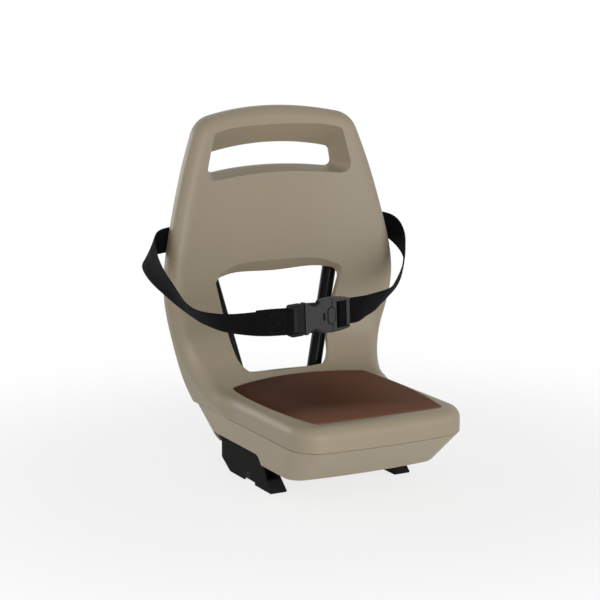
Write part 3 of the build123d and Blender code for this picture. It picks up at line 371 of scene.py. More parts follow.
@dataclass(frozen=True)
class Finish:
    """Surface of one material: colours, gloss, grain and the shader's fixed values."""

    name: str
    base: Colour
    tone: float = 0.05
    gloss: tuple[float, float] = (0.40, 0.52)
    grain_scale: float = 900.0
    grain_depth: float = 0.00003
    grain_share: float = 0.25
    marks_scale: float = 8.0
    metallic: float = 0.0
    specular: float = 0.5
    sheen: float = 0.0
    coat: float = 0.0
    woven: bool = False
    groove_shaded: bool = False
    sheen_paint: Optional[Colour] = None
    furrow_shade_share: float = 0.3
    # Share of the base colour kept in the weave's furrows, as painted shade.
    weave_lift: float = 4.0

    def shades(self) -> tuple[tuple, tuple]:
        """Neighbours of the base colour.

        Returns:
            The darker and the lighter one, opaque.
        """
        low = tuple(channel * (1 - self.tone) for channel in self.base)
        high = tuple(channel * (1 + self.tone) for channel in self.base)
        return (*low, 1.0), (*high, 1.0)

    def material(self, effects: Effects) -> bpy.types.Material:
        """Material of the finish.

        Args:
            effects: The shared node groups.

        Returns:
            A node material with its own Principled shader.
        """
        material = bpy.data.materials.new(self.name)
        material.use_nodes = True
        board = Board(material.node_tree)
        shader = material.node_tree.nodes["Principled BSDF"]
        marks = board.add("ShaderNodeGroup", {}, node_tree=effects.handling)
        marks.inputs["Scale"].default_value = self.marks_scale
        low, high = self.shades()
        colour = board.blend(marks.outputs["Tone"], low, high)
        grain = board.add("ShaderNodeGroup", {}, node_tree=effects.grain)
        grain.inputs["Scale"].default_value = self.grain_scale
        grain.inputs["Cells"].default_value = self.grain_share
        height = grain.outputs["Height"]
        if self.woven:
            weave = board.add("ShaderNodeGroup", {}, node_tree=effects.weave)
            # Painted shade: the furrows between the ribs are darkened.
            furrow_shade = tuple(self.furrow_shade_share * channel for channel in low[:3])
            colour = board.blend(weave.outputs["Thread"], (*furrow_shade, 1.0), colour)
            height = board.math("MULTIPLY_ADD", weave.outputs["Height"], self.weave_lift, height)
        # Painted sheen: paler along the pad's front and towards its right, where light catches it.
        if self.sheen_paint:
            sheen_mask = board.add("ShaderNodeGroup", {}, node_tree=effects.front_sheen)
            colour = board.blend(sheen_mask.outputs["Painted Sheen"], colour, (*self.sheen_paint, 1.0))
        # Painted shade: near-black in the buckle's gaps and grooves.
        if self.groove_shaded:
            lines = board.add("ShaderNodeGroup", {}, node_tree=effects.lines)
            colour = board.blend(lines.outputs["Line"], colour, (*GROOVE_SHADE_COLOUR, 1.0))
        bump = board.add("ShaderNodeBump", {"Distance": self.grain_depth, "Strength": 1.0, "Height": height})
        links = material.node_tree.links
        links.new(colour, shader.inputs["Base Color"])
        links.new(board.spread(marks.outputs["Gloss"], *self.gloss), shader.inputs["Roughness"])
        links.new(bump.outputs[0], shader.inputs["Normal"])
        shader.inputs["Metallic"].default_value = self.metallic
        shader.inputs["Specular IOR Level"].default_value = self.specular
        shader.inputs["Sheen Weight"].default_value = self.sheen
        shader.inputs["Coat Weight"].default_value = self.coat
        return material


# Near-black for the painted shade in grooves.
GROOVE_SHADE_COLOUR = (0.002, 0.002, 0.002)
STONE = (0.318, 0.266, 0.182)
# Stone raised by about 17 % for the tray: painted light that makes up for the light its downward-facing
# faces miss.
STONE_WITH_PAINTED_LIGHT = (0.372, 0.312, 0.214)
BLACK = (0.0045, 0.0043, 0.0048)
FINISHES = {
    Slot.SHELL: Finish("stone_plastic", STONE, tone=0.03, gloss=(0.42, 0.54), grain_share=0.4),
    # Painted light: the tray takes the raised stone colour.
    Slot.TRAY: Finish("stone_plastic_tray", STONE_WITH_PAINTED_LIGHT, tone=0.03, gloss=(0.42, 0.54), grain_share=0.4),
    # The pad's paler front and right side is painted sheen.
    Slot.PAD: Finish(
        "brown_skin", (0.086, 0.038, 0.022), tone=0.16, gloss=(0.55, 0.68), grain_scale=1300.0,
        grain_depth=0.00008, grain_share=0.9, marks_scale=11.0, specular=0.01, sheen_paint=(0.200, 0.096, 0.060)),
    Slot.WEBBING: Finish(
        "black_webbing", (0.0075, 0.0070, 0.0080), tone=0.2, gloss=(0.62, 0.78), grain_scale=2400.0,
        grain_depth=0.0001, specular=0.05, sheen=0.01, woven=True),
    # The buckle carries painted shade in its grooves.
    Slot.BUCKLE: Finish(
        "buckle_plastic", (0.046, 0.045, 0.048), tone=0.1, gloss=(0.26, 0.36), grain_scale=1500.0,
        specular=0.14, groove_shaded=True),
    Slot.STEEL: Finish(
        "black_coated_steel", BLACK, tone=0.15, gloss=(0.24, 0.32), grain_scale=420.0,
        grain_depth=0.00002, specular=0.06),
    Slot.LOCK: Finish("lock_plastic", BLACK, tone=0.15, gloss=(0.36, 0.46), specular=0.06),
    Slot.SCREW: Finish("oxide_screw", (0.012, 0.012, 0.013), tone=0.2, gloss=(0.3, 0.4), specular=0.06),
    Slot.LINER: Finish("liner_rubber", (0.016, 0.016, 0.016), tone=0.2, gloss=(0.7, 0.85), specular=0.2),
    Slot.ZINC: Finish(
        "zinc_steel", (0.52, 0.53, 0.55), tone=0.12, gloss=(0.28, 0.45), grain_scale=600.0, metallic=1.0),
}
CLAMP_STEEL = Finish(
    "matt_coated_steel", (0.021, 0.0197, 0.0205), tone=0.15, gloss=(0.5, 0.62), grain_scale=420.0,
    grain_depth=0.00002, specular=0.01)
NODE_FINISHES = {
    "buckle_tongue": Finish(
        "tongue_plastic", (0.010, 0.0098, 0.0105), tone=0.15, gloss=(0.3, 0.4), grain_scale=1500.0,
        specular=0.1),
    "left_clamp_channel": CLAMP_STEEL,
    "right_clamp_channel": CLAMP_STEEL,
}
THREAD = Finish(
    "sewing_thread", (0.012, 0.0115, 0.0125), tone=0.2, gloss=(0.5, 0.6), grain_scale=3000.0, specular=0.07)


def grid_object(name: str, points: Array, maps: Array, caps: bool = True) -> bpy.types.Object:
    """Object of a tube-like grid: rows along the piece, columns round its closed section.

    Args:
        name: Name of the piece.
        points: Places, rows by columns by 3.
        maps: Map of each corner, rows by columns plus one by 2.
        caps: Whether the two ends are closed by a face each.

    Returns:
        The object, linked to the scene.
    """
    rows, columns = points.shape[:2]
    index = np.arange(rows * columns).reshape(rows, columns)
    after = np.roll(index, -1, axis=1)
    faces = np.stack([index[:-1], index[1:], after[1:], after[:-1]], axis=-1).reshape(-1, 4)
    corner = np.stack([maps[:-1, :-1], maps[1:, :-1], maps[1:, 1:], maps[:-1, 1:]], axis=-2).reshape(-1, 2)
    polygons = faces.tolist()
    if caps:
        polygons += [index[0].tolist(), index[-1][::-1].tolist()]
        corner = np.concatenate([corner, maps[0, :-1], maps[-1, :-1][::-1]])
    return linked_mesh(name, points.reshape(-1, 3), polygons, corner)


def linked_mesh(name: str, points: Array, polygons: list, corner: Array) -> bpy.types.Object:
    """Smooth mesh object from places, faces and a map.

    Args:
        name: Name of the piece.
        points: Places, one row each.
        polygons: Corners of each face.
        corner: Map of each face corner in order.

    Returns:
        The object, linked to the scene.
    """
    mesh = bpy.data.meshes.new(name)
    mesh.from_pydata(points.tolist(), [], polygons)
    layer = mesh.uv_layers.new(name="strap")
    layer.data.foreach_set("uv", np.asarray(corner, np.float32).ravel())
    mesh.polygons.foreach_set("use_smooth", np.ones(len(mesh.polygons), bool))
    mesh.update()
    item = bpy.data.objects.new(name, mesh)
    bpy.context.scene.collection.objects.link(item)
    return item


def rounded_form(name: str, rings: Array, low: Array, high: Array) -> bpy.types.Object:
    """Closed object of rings, with a fan of triangles to a pole at each end.

    Args:
        name: Name of the piece.
        rings: Places, rings from the low pole to the high one by points anticlockwise round each by 3.
        low: Place of the low pole.
        high: Place of the high pole.

    Returns:
        The object, linked to the scene, mapped from above.
    """
    rows, columns = rings.shape[:2]
    index = np.arange(rows * columns).reshape(rows, columns)
    after = np.roll(index, -1, axis=1)
    poles = np.full((2, columns), rows * columns) + np.array([[0], [1]])
    quads = np.stack([index[:-1], after[:-1], after[1:], index[1:]], axis=-1).reshape(-1, 4)
    under = np.stack([poles[0], after[0], index[0]], axis=-1)
    over = np.stack([poles[1], index[-1], after[-1]], axis=-1)
    fans = np.concatenate([under, over])
    points = np.concatenate([rings.reshape(-1, 3), [low, high]])
    corners = np.concatenate([quads.ravel(), fans.ravel()])
    return linked_mesh(name, points, quads.tolist() + fans.tolist(), points[corners, :2])


def node_points(node: str) -> Array:
    """Vertices of a frame node.

    Args:
        node: Name of the node.

    Returns:
        Their places, one row each.
    """
    mesh = frame["nodes"][node].data
    places = np.empty(3 * len(mesh.vertices), np.float32)
    mesh.vertices.foreach_get("co", places)
    return places.reshape(-1, 3).astype(float)


def unit(vectors: Array) -> Array:
    """Vectors brought to length 1."""
    return vectors / np.linalg.norm(vectors, axis=-1, keepdims=True)


def arc_length(points: Array) -> Array:
    """Distance along a line of points, from its first."""
    steps = np.linalg.norm(np.diff(points, axis=0), axis=1)
    return np.concatenate([[0.0], np.cumsum(steps)])


def resampled(points: Array, values: Array, places: Array) -> Array:
    """Values given at points of a line, read at distances along it."""
    distance = arc_length(points)
    return np.stack([np.interp(places, distance, column) for column in values.T], axis=1)


def softened(values: Array, reach: int) -> Array:
    """Columns averaged along their rows under a bell curve, with the ends held.

    Args:
        values: One row for each place.
        reach: Number of rows that count on either side.

    Returns:
        The averaged rows.
    """
    window = np.hanning(2 * reach + 3)[1:-1]
    window /= window.sum()
    padded = np.pad(values, ((reach, reach), (0, 0)), mode="edge")
    return np.stack([np.convolve(column, window, "valid") for column in padded.T], axis=1)


def smooth_line(knots: Array, values: Array, count: int) -> tuple[Array, Array]:
    """Natural cubic spline through knots by chord length, with values carried along.

    Args:
        knots: Points that the line passes through.
        values: One row of values for each knot.
        count: Number of points on the line.

    Returns:
        The points of the line and the values there, eased from knot to knot.
    """
    station = arc_length(knots)
    gap = np.diff(station)
    size = len(knots)
    system = np.eye(size)
    inner = np.arange(1, size - 1)
    system[inner, inner - 1] = gap[:-1]
    system[inner, inner] = 2 * (gap[:-1] + gap[1:])
    system[inner, inner + 1] = gap[1:]
    slope = np.diff(knots, axis=0) / gap[:, None]
    right = np.zeros_like(knots)
    right[1:-1] = 6 * np.diff(slope, axis=0)
    bend = np.linalg.solve(system, right)
    where = np.linspace(0.0, station[-1], count)
    piece = np.clip(np.searchsorted(station, where) - 1, 0, size - 2)
    step = gap[piece][:, None]
    low = (station[piece + 1] - where)[:, None]
    high = (where - station[piece])[:, None]
    line = (bend[piece] * low**3 + bend[piece + 1] * high**3) / (6 * step)
    line += (knots[piece] / step - bend[piece] * step / 6) * low
    line += (knots[piece + 1] / step - bend[piece + 1] * step / 6) * high
    carried = np.stack([np.interp(where, station, column) for column in values.T], axis=1)
    return line, softened(carried, EASE_ROWS)


@dataclass
class SeatForm:
    """Surface of the moulded seat that the pad lies on: flat, then coved up to the back."""

    back_radius: float = 0.356
    back_face_y: float = 0.114
    cove: float = 0.066
    seat_top: float = 0.074
    cove_limit: float = 0.98

    def height(self, points: Array) -> Array:
        """Height of the seat surface: level, and a quarter circle from where the cove starts.

        Args:
            points: Places in plan, along X and Y in the last axis.

        Returns:
            One height for each place.
        """
        axis = self.back_face_y - self.back_radius
        radial = np.hypot(points[..., 0], points[..., 1] - axis)
        into = np.clip(radial - (self.back_radius - self.cove), 0.0, self.cove_limit * self.cove)
        return self.seat_top + self.cove - np.sqrt(self.cove**2 - into**2)


@dataclass
class SeatPad:
    """Soft pad in the recess of the seat, crowned, with a rolled edge."""

    form: SeatForm = field(default_factory=SeatForm)
    node: str = "seat_pad"
    rings: int = 46
    around: int = 420
    edge_round: float = 0.0026
    edge_rise: float = 0.0012
    crown: float = 0.0012
    crown_reach: float = 0.050
    front_fall: float = 0.0020
    front_reach: float = 0.026
    recess: float = 0.0022
    floor_gap: float = 0.0001
    ripple: float = 0.00012
    ripple_waves: tuple[float, float] = (120.0, 90.0)
    ripple_shift: float = 1.0
    ring_power: float = 0.8
    crown_rate: float = 3.0
    edge_steps: int = 9
    hull_turns: int = 2880
    fill: float = 0.55

    def outline(self) -> Array:
        """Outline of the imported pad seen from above, evenly spaced.

        Returns:
            Points of the hull of the pad's vertices, one row each.
        """
        flat = node_points(self.node)[:, :2]
        turn = np.linspace(0.0, 2 * math.pi, self.hull_turns, endpoint=False)
        ahead = np.stack([np.cos(turn), np.sin(turn)], axis=1)
        far = np.argmax(ahead @ flat.T, axis=1)
        corners = flat[far[np.concatenate([[True], np.diff(far) != 0])]]
        ring = np.concatenate([corners, corners[:1]])
        places = np.linspace(0.0, arc_length(ring)[-1], self.around, endpoint=False)
        return resampled(ring, ring, places)

    def surface(self) -> Array:
        """Closed form of the pad: rings from the underside's middle, round the edge, to the middle above.

        The underside keeps the recess floor. The edge is a quarter circle, and from there the top rises with
        one minus an exponential of the distance from the edge, so that it is flat in the middle. Near the
        front edge it falls forward with an even slope that runs out towards the middle.

        Returns:
            Places, rings by points round the outline by 3. The first and last ring are the poles.
        """
        ring = self.outline()
        middle = ring.mean(axis=0)
        reach = np.linalg.norm(ring - middle, axis=1)
        share = np.linspace(0.0, 1.0, self.rings) ** self.ring_power
        below = share[:, None] * np.ones_like(reach)
        inner = 1 - self.edge_round / reach
        bend = np.linspace(0.0, math.pi / 2, self.edge_steps)[:, None]
        edge = inner + (1 - inner) * np.cos(bend)
        above = share[::-1][1:, None] * inner
        scale = np.concatenate([below, edge, above])
        flat = middle + (ring - middle) * scale[..., None]
        away = (1 - scale) * reach
        floor = self.form.height(flat) - self.recess + self.floor_gap
        top = self.edge_rise * np.ones_like(away)
        inward = np.clip(away - self.edge_round, 0, None) / self.crown_reach
        top += self.crown * (1 - np.exp(-inward * self.crown_rate))
        ahead = np.clip((flat[..., 1] - ring[:, 1].min()) / self.front_reach, 0, 1)
        top += self.front_fall * (4 * ahead - ahead**4) / 3 * np.clip(away / self.edge_round - 1, 0, 1)
        beside, forward = np.moveaxis(flat * np.array(self.ripple_waves), -1, 0)
        wave = np.sin(beside) * np.sin(forward + self.ripple_shift)
        top += self.ripple * wave * np.clip(away / self.crown_reach, 0, 1)
        rise = np.zeros_like(scale)
        first = len(below)
        last = first + len(edge)
        drop = (1 - np.sin(bend)) * self.edge_round
        rise[first:last] = (self.recess + self.edge_rise) - drop
        rise[last:] = self.recess + top[last:]
        return np.concatenate([flat, (floor + rise)[..., None]], axis=-1)

    def build(self, finish: bpy.types.Material) -> bpy.types.Object:
        """Pad piece in place of the plain solid.

        Args:
            finish: Material of the pad.

        Returns:
            The finished piece.
        """
        rings = self.surface()
        pad = rounded_form("pad_cushion", rings[1:-1], rings[0, 0], rings[-1, 0])
        pad.data.materials.append(finish)
        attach(pad, SEAT_BODY)
        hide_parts(self.node)
        return pad


@dataclass
class Webbing:
    """A flat strap: its centre line, the direction of its width, and its woven section."""

    name: str
    line: Array
    across: Array
    starts: Array
    width: float = 0.030
    thick: float = 0.0014
    pitch: float = 0.0016
    relief: float = 0.0001
    easing: int = 5
    per_rib: int = 4
    faces: int = 11
    turns: int = 5

    def __post_init__(self) -> None:
        """Evenly spaced stations, with tangents, widths and normals."""
        spacing = self.pitch / self.per_rib
        length = arc_length(self.line)[-1]
        self.station = np.linspace(0.0, length, int(length / spacing) + 1)
        centre = resampled(self.line, self.line, self.station)
        self.centre = softened(centre, self.easing)
        self.centre[:self.easing] = centre[:self.easing]
        self.centre[-self.easing:] = centre[-self.easing:]
        self.run = unit(np.gradient(self.centre, axis=0))
        wide = resampled(self.line, self.across, self.station)
        self.wide = unit(wide - self.run * np.sum(wide * self.run, axis=1, keepdims=True))
        self.out = np.cross(self.run, self.wide)

    def start(self, part: StrapPart) -> float:
        """Distance along the strap at which one of its parts starts."""
        return float(arc_length(self.line)[self.starts[part.value]])

    def section(self) -> tuple[Array, Array, Array]:
        """Closed section of the strap: two flat faces joined by half rounds.

        Returns:
            Offsets across, offsets along the normal, and the share of relief of each point.
        """
        half = self.thick / 2
        flat = np.linspace(-self.width / 2 + half, self.width / 2 - half, self.faces)
        turn = np.linspace(math.pi / 2, -math.pi / 2, self.turns + 2)[1:-1]
        side = self.width / 2 - half + half * np.cos(turn)
        lift = half * np.sin(turn)
        across = np.concatenate([flat, side, flat[::-1], -side])
        normal = np.concatenate([np.full(self.faces, half), lift, np.full(self.faces, -half), -lift])
        share = np.sign(normal) * (np.abs(np.abs(normal) - half) < 1e-9)
        return across, normal, share

    def build(self, finish: bpy.types.Material) -> bpy.types.Object:
        """Strap piece: the section carried along the line, its faces rippled by the ribs.

        Args:
            finish: Material of the strap.

        Returns:
            The strap object, riding on nothing yet.
        """
        across, normal, share = self.section()
        column = np.floor(across / self.pitch)
        wave = np.cos(2 * math.pi * self.station[:, None] / self.pitch + math.pi * column)
        lift = normal + self.relief * wave * share
        points = self.centre[:, None] + self.wide[:, None] * across[None, :, None]
        points = points + self.out[:, None] * lift[..., None]
        around = np.concatenate([across, across[:1]])
        maps = np.stack(np.broadcast_arrays(self.station[:, None], around[None]), axis=-1)
        strap = grid_object(self.name, points, maps)
        strap.data.materials.append(finish)
        return strap

    def places(self, along: Array, across: Array, lift: float) -> tuple[Array, Array, Array, Array]:
        """Points on the strap with their frames.

        Args:
            along: Distances along the strap.
            across: Distances from its middle.
            lift: Height over its middle layer.

        Returns:
            Points, run, width and outward directions.
        """
        run, wide, out, centre = [
            np.stack([np.interp(along, self.station, column) for column in values.T], axis=1)
            for values in (self.run, self.wide, self.out, self.centre)]
        return centre + wide * across[:, None] + out * lift, run, wide, out


@dataclass
class Stitching:
    """Rows of thread through a sewn overlap: a frame with a cross inside."""

    name: str
    strap: Webbing
    start: float
    length: float
    side: int
    margin: float = 0.0040
    pitch: float = 0.0030
    thread: float = 0.00045
    fill: float = 0.86
    taper: float = 0.9
    thinnest: float = 0.02
    sinking: float = 0.9
    steps: int = 7
    sides: int = 6

    def rows(self) -> tuple[Array, Array, Array]:
        """Middle of each stitch on the strap and its heading there.

        Returns:
            Distances along, distances across, and heading angles.
        """
        half = self.strap.width / 2 - self.margin
        low = self.start
        high = self.start + self.length
        ends = [((low, -half), (high, -half)), ((high, -half), (high, half)), ((high, half), (low, half)),
                ((low, half), (low, -half)), ((low, -half), (high, half)), ((low, half), (high, -half))]
        middles = []
        angles = []
        for begin, end in ends:
            span = np.subtract(end, begin)
            count = max(2, int(round(np.hypot(*span) / self.pitch)))
            share = (np.arange(count) + 0.5) / count
            middles.append(np.array(begin) + share[:, None] * span)
            angles.append(np.full(count, math.atan2(span[1], span[0])))
        spots = np.concatenate(middles)
        return spots[:, 0], spots[:, 1], np.concatenate(angles)

    def build(self, finish: bpy.types.Material) -> bpy.types.Object:
        """All stitches as one piece: a capsule of thread, bent down at its ends by a parabola, repeated.

        Args:
            finish: Material of the thread.

        Returns:
            The stitch object, riding on nothing yet.
        """
        along, across, angle = self.rows()
        lift = self.side * (self.strap.thick / 2 + self.strap.relief)
        spot, run, wide, out = self.strap.places(along, across, lift)
        out = self.side * out
        head = run * np.cos(angle)[:, None] + wide * np.sin(angle)[:, None]
        side = np.cross(out, head)
        t = np.linspace(-1.0, 1.0, self.steps)
        girth = self.thread * np.sqrt(np.clip(1 - self.taper * t**4, self.thinnest, None))
        turn = np.linspace(0.0, 2 * math.pi, self.sides, endpoint=False)
        reach = 0.5 * self.fill * self.pitch * t
        sink = -self.thread * self.sinking * t**2
        ahead = np.broadcast_to(reach[:, None], (self.steps, self.sides))
        aside = girth[:, None] * np.cos(turn)
        above = sink[:, None] + girth[:, None] * np.sin(turn)
        parts = ahead[..., None] * head[:, None, None] + aside[..., None] * side[:, None, None]
        points = spot[:, None, None] + parts + above[..., None] * out[:, None, None]
        count = len(spot)
        index = np.arange(count * self.steps * self.sides).reshape(count, self.steps, self.sides)
        after = np.roll(index, -1, axis=2)
        faces = np.stack([index[:, :-1], index[:, 1:], after[:, 1:], after[:, :-1]], axis=-1).reshape(-1, 4)
        polygons = faces[:, ::-1].tolist()
        polygons += index[:, 0, ::-1].tolist() + index[:, -1].tolist()
        maps = np.zeros((sum(map(len, polygons)), 2))
        item = linked_mesh(self.name, points.reshape(-1, 3), polygons, maps)
        item.data.materials.append(finish)
        return item


@dataclass
class HipBelt:
    """Hip belt: a strap from each hoop leg to the buckle, sewn round the legs and round the tongue bar."""

    leg_low: Point = (0.0595, 0.1155, 0.097)
    leg_high: Point = (0.0784, 0.1250, 0.175)
    leg_radius: float = 0.009
    leg_gap: float = 0.0007
    leg_points: int = 60
    join: Point = (0.1190, 0.1244, 0.2515)
    layer: float = 0.0017
    web_thick: float = 0.0015
    buckle: BuckleFrame = field(default_factory=BuckleFrame)
    tongue_bar: float = -0.0385
    bar_reach: float = 0.0085
    fold_slip: float = 0.0012
    bar_round: float = 0.0034
    sewn_length: float = 0.018
    fold_seam: float = 0.006
    anchor_seam: float = 0.008
    anchor_points: int = 50
    bar_points: int = 40
    fold_points: int = 38
    tail_points: int = 42
    left_points: int = 352
    right_points: int = 368
    ladder_bar: float = 0.029
    ladder_round: float = 0.00255
    ladder_turn: tuple[int, int, int] = (45, 256, 7)
    entry: Spots = ((0.062, -0.0054), (0.056, -0.0042), (0.049, -0.0039))
    into: Spots = (
        (0.0435, -0.0041), (0.039, -0.0042), (0.036, -0.0039), (0.0345, -0.0017), (0.0333, 0.0012))
    leave: Spots = ((0.0315, -0.0044), (0.0352, -0.0059), (0.039, -0.0061), (0.0435, -0.0059))
    slack_start: Point = (-0.185, -0.010, 0.200)
    slack_end: Point = (-0.120, -0.084, 0.182)
    left_knots: tuple[Point, ...] = (
        (-0.1380, 0.1190, 0.2515), (-0.1505, 0.1152, 0.2510), (-0.1630, 0.1110, 0.2490),
        (-0.1765, 0.0985, 0.2445), (-0.1860, 0.0800, 0.2378), (-0.1920, 0.0540, 0.2290),
        (-0.1915, 0.0208, 0.2150), (-0.1835, -0.0175, 0.1953), (-0.1765, -0.0528, 0.1872),
        (-0.1608, -0.0696, 0.1841), (-0.1440, -0.0768, 0.1826), (-0.1259, -0.0828, 0.1820),
        (-0.1080, -0.0856, 0.1816))
    right_knots: tuple[Point, ...] = (
        (0.1380, 0.1190, 0.2515), (0.1505, 0.1152, 0.2510), (0.1600, 0.1100, 0.2480),
        (0.1670, 0.0960, 0.2375), (0.1635, 0.0750, 0.2250), (0.1514, 0.0550, 0.2160),
        (0.1340, 0.0300, 0.2080), (0.1137, 0.0050, 0.2008), (0.0913, -0.0180, 0.1948),
        (0.0671, -0.0420, 0.1900), (0.0465, -0.0580, 0.1880), (0.0231, -0.0700, 0.1863))
    left_lean: tuple[float, ...] = (0, 0, 0, -16, -24, -35, -17, 10, 33, 45, 37, 27, 12, 0, 0)
    right_lean: tuple[float, ...] = (0, 0, 0, 0, 0, 0, 5, 10, 18, 28, 36, 27, 18, 5, 0, 0)

    def local(self, spots: Array) -> Array:
        """Points of the belt line given along and outward from the buckle's middle."""
        along, _, outward = self.buckle.axes()
        return np.array(self.buckle.centre) + spots[:, :1] * along + spots[:, 1:] * outward

    def leg_loop(self, side: Side) -> tuple[Array, Array]:
        """Strap round a hoop leg: the arc between two tangents from the sewn join.

        Args:
            side: Side of the leg.

        Returns:
            Points of the arc and the strap's width direction there.
        """
        low = np.array(self.leg_low)
        high = np.array(self.leg_high)
        share = (self.join[2] - low[2]) / (high[2] - low[2])
        centre = low + share * (high - low)
        mirror = np.array([side.value, 1.0, 1.0])
        up = unit((high - low) * mirror)
        out = np.array([side.value, 0.0, 0.0])
        out = unit(out - up * (out @ up))
        rear = np.array([0.0, 1.0, 0.0])
        rear = unit(rear - up * (rear @ up) - out * (rear @ out))
        radius = self.leg_radius + self.leg_gap + self.web_thick / 2
        reach = self.join[0] - centre[0]
        drop = self.join[1] - centre[1]
        lean = math.atan2(drop, reach)
        spread = math.acos(radius / math.hypot(reach, drop))
        angle = np.linspace(lean - spread, lean + spread - 2 * math.pi, self.leg_points)[:, None]
        points = centre * mirror + radius * (np.cos(angle) * out + np.sin(angle) * rear)
        return points, np.broadcast_to(up, points.shape)

    @staticmethod
    def aside(points: Array, distance: float) -> Array:
        """Line moved sideways, level with the ground.

        Args:
            points: Points of the line.
            distance: How far it moves to its right.

        Returns:
            The moved points.
        """
        run = np.gradient(points, axis=0)
        side = unit(np.stack([run[:, 1], -run[:, 0], np.zeros(len(run))], axis=1))
        return points + side * distance

    @staticmethod
    def leaning(line: Array, lean: Array, side: Side) -> Array:
        """Width directions of a strap whose top edge leans away from the rider.

        Args:
            line: Points of the strap.
            lean: Angle of the top edge from upright in degrees, one row each.
            side: Side of the seat on which the strap runs.

        Returns:
            One direction for each point.
        """
        run = np.gradient(line, axis=0)
        out = unit(side.value * np.stack([-run[:, 1], run[:, 0], np.zeros(len(run))], axis=1))
        return np.cos(np.radians(lean)) * np.array([0.0, 0.0, 1.0]) + np.sin(np.radians(lean)) * out

    def free_run(self, side: Side, knots: tuple[Point, ...], last: Array) -> tuple[Array, Array]:
        """Free run of a strap: a spline from the sewn join through its knots to the buckle.

        Args:
            side: Side of the seat on which the strap runs.
            knots: Points between the join and the buckle.
            last: Points at the buckle.

        Returns:
            Points of the run and the strap's width direction there.
        """
        left = side is Side.LEFT
        lean = np.array(self.left_lean if left else self.right_lean, float)[:, None]
        first = np.array([[side.value * self.join[0], self.join[1] + self.layer / 2, self.join[2]]])
        line, angles = smooth_line(
            np.concatenate([first, knots, last]), lean, self.left_points if left else self.right_points)
        return line, self.leaning(line, angles, side)

    def strap(self, side: Side, free: Array, free_up: Array, bar: Array, end: Array) -> Webbing:
        """Strap of five parts in a row: sewn anchor, loop round the leg, free run, bar and end.

        Args:
            side: Side of the seat on which the strap runs.
            free: Points of the free run.
            free_up: Width directions of the free run.
            bar: Points round the buckle's bar.
            end: Points of the end, which runs back along the free run.

        Returns:
            The strap.
        """
        _, buckle_up, _ = self.buckle.axes()
        loop, loop_up = self.leg_loop(side)
        anchor = self.aside(free[:self.anchor_points], side.value * self.layer)[::-1]
        parts = [anchor, loop, free, bar, end]
        bar_up = np.broadcast_to(buckle_up, bar.shape)
        wide = [free_up[:self.anchor_points][::-1], loop_up, free_up, bar_up, free_up[-len(end):][::-1]]
        starts = np.cumsum([0] + [len(part) for part in parts[:-1]])
        name = "belt_" + side.name.lower()
        return Webbing(name, np.concatenate(parts), np.concatenate(wide), starts)

    def left(self) -> Webbing:
        """Strap from the left leg to the tongue, folded back over the tongue bar.

        Returns:
            The strap.
        """
        _, buckle_up, _ = self.buckle.axes()
        last = self.local(np.array([[self.tongue_bar - self.bar_reach, self.layer / 2]]))
        free, free_up = self.free_run(Side.LEFT, self.left_knots, last)
        radius = self.bar_round + self.web_thick / 2
        spread = math.acos(radius / self.bar_reach)
        angle = np.linspace(math.pi - spread, spread - math.pi, self.bar_points)
        ring = np.stack([self.tongue_bar + radius * np.cos(angle), radius * np.sin(angle)], axis=1)
        fold = self.aside(free[-self.fold_points:], -self.layer)[::-1] + self.fold_slip * buckle_up
        return self.strap(Side.LEFT, free, free_up, self.local(ring), fold)

    def right(self) -> Webbing:
        """Strap from the right leg through the ladder bars of the socket to a loose tail.

        Returns:
            The strap.
        """
        _, buckle_up, _ = self.buckle.axes()
        free, free_up = self.free_run(Side.RIGHT, self.right_knots, self.local(np.array(self.entry)))
        radius = self.ladder_round + self.web_thick / 2
        angle = np.radians(np.arange(*self.ladder_turn))
        bar = np.stack([self.ladder_bar + radius * np.cos(angle), radius * np.sin(angle)], axis=1)
        threaded = self.local(np.concatenate([self.into, bar, self.leave]))
        tail = self.aside(free[-self.tail_points:], self.layer)[::-1] - self.fold_slip * buckle_up
        return self.strap(Side.RIGHT, free, free_up, threaded, tail)

    def build(self, finish: bpy.types.Material, thread: bpy.types.Material) -> list[bpy.types.Object]:
        """Both straps in place of the plain ribbons, with their seams.

        Args:
            finish: Material of the webbing.
            thread: Material of the seams.

        Returns:
            The two strap pieces and the sewn boxes.
        """
        belts = {Side.LEFT: self.left(), Side.RIGHT: self.right()}
        left, right = [belts[side].build(finish) for side in Side]
        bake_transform(left)
        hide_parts("left_strap")
        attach(right, SEAT_BODY)
        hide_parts("right_strap")
        sewn = self.sewn_length
        fold_start = belts[Side.LEFT].start(StrapPart.BAR) - self.fold_seam - sewn
        fold = Stitching("fold_seam", belts[Side.LEFT], fold_start, sewn, 1).build(thread)
        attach(fold, TONGUE_BODY)
        pieces = [left, right, fold]
        for side, belt in belts.items():
            name = side.name.lower() + "_anchor_seam"
            start = belt.start(StrapPart.FREE) + self.anchor_seam
            seam = Stitching(name, belt, start, sewn, -side.value).build(thread)
            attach(seam, SEAT_BODY)
            pieces.append(seam)
        return pieces


@dataclass
class FrameDress:
    """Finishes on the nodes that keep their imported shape."""

    effects: Effects

    def apply(self, materials: dict[Slot, bpy.types.Material]) -> None:
        """Each node takes the material of its slot in the record.

        Args:
            materials: Material of each slot.
        """
        own = {finish.name: finish.material(self.effects) for finish in NODE_FINISHES.values()}
        for part in frame["record"]["subparts"]:
            item = frame["nodes"][part["node"]]
            material = materials[Slot(part["material_slot"])]
            if part["node"] in NODE_FINISHES:
                material = own[NODE_FINISHES[part["node"]].name]
            item.data.materials.clear()
            item.data.materials.append(material)
            LOG.info("finish %s on %s", part["material_slot"], part["node"])


@dataclass(frozen=True)
class Lamp:
    """Rectangular soft lamp: where it stands, its power in watts, and its width and height."""

    name: str
    place: Point
    power: float
    size: tuple[float, float]


